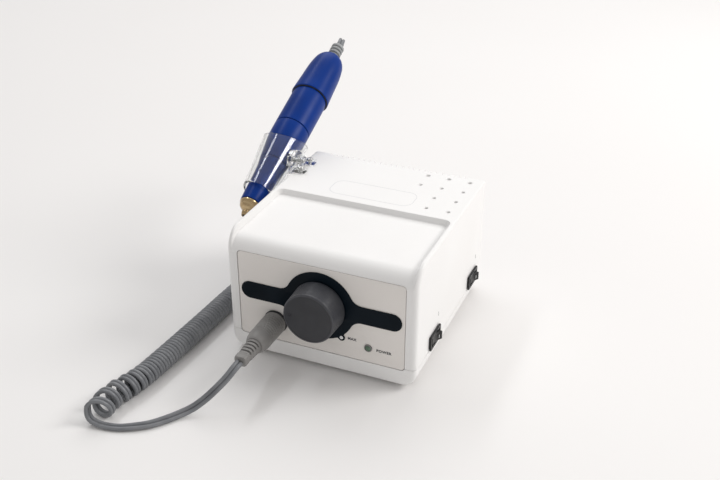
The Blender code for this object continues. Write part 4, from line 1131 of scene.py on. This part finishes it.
def cradle_bracket():
    y, z = tilt.y, tilt.z
    foot_z = TOP + 0.3
    outline = [(y - 10.5, z - 6), (y + 10.5, z - 6), (y + 10.5, foot_z + 2.2)]
    outline += arc((y, z), 7.0, 15, 165, 24) + [(y - 10.5, foot_z + 2.2)]
    wall = plate([outline, circle((y, z), 1.9, 32)], "X", -HALF_W - 2.8, -HALF_W - 0.4, 0.25)
    feet = []
    for low in (y - 10.5, y + 4.5):
        foot = plate([rounded_box((-HALF_W - 1.0, low), (-HALF_W + 9.0, low + 6.0), 1.2)], "Z",
                     foot_z, foot_z + 2.2, 0.25)
        feet.append((JOIN, foot))
    holes = [(CUT, moved(peg(1.3, TOP - 4, TOP + 9, 24), BRACKET_SCREW_X, hole_y))
             for hole_y in BRACKET_SCREW_YS]
    finished("bracket_clear", combined(wall, *feet, *holes), THIN_CLEAR, HERE, "control_box",
             ["cradle_bracket"])
    for side in ("front", "rear"):
        spot = local(middle(f"bracket_screw_{side}") * MM)
        screw = lathe([(0, 88.0), (1.0, 88.0), (1.9, 87.6), (2.2, 87.0), (2.2, 86.6), (0.8, 86.6),
                       (0.8, 81.7), (0, 81.7)], 32, 0.1)
        slot_cut = block((-1.4, -0.25, 87.3), (1.4, 0.25, 89))
        screw = combined(screw, (CUT, slot_cut))
        finished(f"pan_screw_{side}", moved(screw, spot.x, spot.y), STEEL, HERE, "control_box",
                 [f"bracket_screw_{side}"])
    pin = lathe([(0, -HALF_W + 4.2), (1.5, -HALF_W + 4.2), (1.5, -HALF_W - 5.2),
                 (0, -HALF_W - 5.2)], 32, 0.2)
    finished("pivot_pin", pin, STEEL, TILT, "control_box", ["cradle_pivot_screw"])
    knurl = [(r * math.cos(math.radians(a)), r * math.sin(math.radians(a)))
             for a, r in ((5 * i, 3.7 + 0.4 * math.cos(math.radians(60 * i))) for i in range(72))]
    nut = plate([knurl, circle((0, 0), 1.8, 32)], "Z", -HALF_W - 0.1, -HALF_W + 4.0, 0.3)
    finished("thumb_nut", nut, THIN_CLEAR, TILT, "control_box",
             ["cradle_thumb_nut"])


# ---------------------------------------------------------------- handpiece

def handpiece():
    nose = lathe([(1.6, 10.6), (6.9, 10.6), (7.35, 10.3), (7.35, 9.4), (7.0, 9.1), (6.7, 8.2),
                  (6.3, 7.0), (5.0, 5.6), (3.4, 4.5), (2.6, 4.1), (2.45, 3.7), (2.45, 3.2),
                  (2.85, 3.0), (2.8, 2.2), (1.95, 0.0), (1.6, 0.0)], 96, 0.14, ring=True)
    finished("nose_turned", nose, BRASS, DRILL, "chuck", ["nose_cone"])
    grip = lathe([(4.6, 47.5), (9.75, 47.5), (9.95, 47.2), (9.4, 44.4), (8.85, 41.0), (8.6, 38.0),
                  (8.42, 34.8), (8.3, 31.0), (8.18, 28.0), (8.05, 23.0), (7.95, 18.6), (7.75, 14.5),
                  (7.6, 11.2), (7.4, 10.9), (4.6, 10.9)], 96, 0.2, ring=True)
    finished("grip_sleeve", grip, BLUE, DRILL, "chuck", ["chuck_grip"])
    front = lathe([(11.2, 80.6), (12.85, 80.6), (13.05, 80.35), (13.02, 76.0), (12.95, 71.0),
                   (12.6, 65.9), (12.1, 62.0), (11.5, 58.5), (11.0, 55.0), (10.5, 51.5),
                   (10.15, 48.2), (9.95, 47.9), (7.4, 47.9), (7.4, 57.0), (11.2, 64.0)], 96, 0.2,
                  ring=True)
    finished("front_shell", front, BLUE, DRILL, "handpiece", ["front_housing"])
    motor = lathe([(12.0, 113.4), (12.8, 113.4), (12.95, 112.0), (13.05, 108.0), (13.05, 81.6),
                   (12.85, 81.2), (12.0, 81.2)], 96, 0.2, ring=True)
    finished("motor_shell", motor, BLUE, DRILL, "handpiece", ["motor_housing"])
    cap = lathe([
        (4.5, 159.2), (4.9, 159.2), (5.9, 158.6), (7.6, 157.0), (9.1, 155.2), (10.2, 153.3),
        (10.95, 151.4), (11.45, 149.2), (11.85, 147.2), (12.15, 145.2), (12.6, 141.7),
        (12.9, 137.8), (13.15, 133.0), (13.4, 128.0), (13.7, 122.6), (14.05, 117.0), (14.2, 115.0),
        (14.2, 114.4), (14.0, 114.0), (12.0, 114.0), (12.0, 115.2), (11.5, 115.2), (11.5, 140.0),
        (9.0, 151.0), (4.5, 155.0)], 112, 0.25, ring=True)
    finished("cap_shell", cap, BLUE, DRILL, "handpiece", ["rear_cap"])
    # A near-black ring in the step between the motor shell and the cap: painted shade in the seam,
    # not a real part.
    shadow = lathe([(12.2, 114.9), (13.7, 114.9), (13.7, 113.9), (13.3, 113.55), (12.2, 113.55)],
                   96, 0.1, ring=True)
    finished("cap_seam_painted_shade", shadow, PAINTED_SEAM_SHADE, DRILL, "handpiece")
    grooves = []
    for i in range(3):
        h = 170.6 - 3.3 * i
        grooves += [(4.45, h), (4.8, h - 0.4), (4.85, h - 1.9), (4.6, h - 2.35), (3.7, h - 2.45),
                    (3.7, h - 3.15)]
    relief = lathe([(0, 171.3), (3.9, 171.3), *grooves, (4.5, 160.5), (4.5, 159.9), (4.3, 159.6),
                    (4.3, 150.5), (6.0, 150.2), (6.0, 149.0), (0, 149.0)], 64, 0.12)
    finished("relief_ringed", relief, RELIEF, DRILL, "handpiece", ["strain_relief"])


# ---------------------------------------------------------------- rear and inner pieces

def rear_connections():
    rear = facing(at(0, 0, 32), (0, 1, 0), (1, 0, 0))
    cap = lathe([(0, 73.0), (5.9, 73.0), (6.5, 72.7), (6.8, 72.1), (6.8, 69.6), (7.8, 69.4),
                 (8.0, 68.9), (8.0, 66.5), (5.8, 66.5), (5.8, 51.5), (0, 51.5)], 64, 0.2)
    cap = combined(cap, (CUT, block((-4.5, -0.6, 71.9), (4.5, 0.6, 75))))
    finished("fuse_cap", cap, BLACK, rear, "control_box", ["fuse_holder"])
    jack_at = facing(at(-30, 0, 32), (0, 1, 0), (1, 0, 0))
    jack = lathe([(1.8, 69.4), (5.3, 69.4), (5.9, 69.0), (6.0, 68.4), (6.0, 66.5), (4.0, 66.5),
                  (4.0, 54.0), (0, 54.0), (0, 56.0), (1.8, 56.0)], 64, 0.2, ring=True)
    finished("jack_bush", jack, STEEL, jack_at, "control_box", ["pedal_jack"])
    x, z = 30.0, 32.0
    flange = plate([rounded_box((x - 16.5, z - 12.0), (x + 16.5, z + 12.0), 2.2)], "Y",
                   HALF_D + 0.3, HALF_D + 2.5, 0.5)
    mouth = [(x - 12, z - 8.2), (x + 12, z - 8.2), (x + 12, z + 3.5), (x + 7.5, z + 8.2),
             (x - 7.5, z + 8.2), (x - 12, z + 3.5)]
    pins = [block((x + dx - 1, 50, z + dz - 2), (x + dx + 1, 60.5, z + dz + 2), 0.3)
            for dx, dz in ((-7, -1.5), (0, 2.5), (7, -1.5))]
    body = combined(block((x - 13.5, 46, z - 9.7), (x + 13.5, HALF_D + 1, z + 9.7)), (JOIN, flange),
                    (CUT, plate([mouth], "Y", 51.5, HALF_D + 6)), (JOIN, merged(*pins)))
    finished("inlet_body", body, BLACK, HERE, "control_box", ["mains_inlet"])


def dress_nodes():
    """Inner nodes keep their own shape and take a finished material."""
    looks = {
        "potentiometer": STEEL, "potentiometer_nut": STEEL, "knob_shaft": STEEL,
        "socket_nut": STEEL, "plug_ferrule": STEEL, "control_board": BOARD,
        "smoothing_capacitor": BLACK, "heat_sink": ALUMINIUM, "transformer_core": STEEL,
        "transformer_winding": COPPER, "stator_magnet": BLACK, "front_bearing": STEEL,
        "rear_bearing": STEEL, "brush_left": BLACK, "brush_right": BLACK, "spindle_shaft": STEEL,
        "armature_and_commutator": COPPER, "collet": STEEL,
    }
    for name, look in looks.items():
        for slot in frame["nodes"][name].material_slots:
            slot.material = look


camera_and_light()
speed_knob()
socket_and_plug()
cords()
top_cover()
base_tray()
front_panel()
film_and_marks()
badge_and_switch_marks()
feet_and_screws()
power_lamp()
rocker_switches()
cradle_cup()
cradle_bracket()
handpiece()
rear_connections()
dress_nodes()
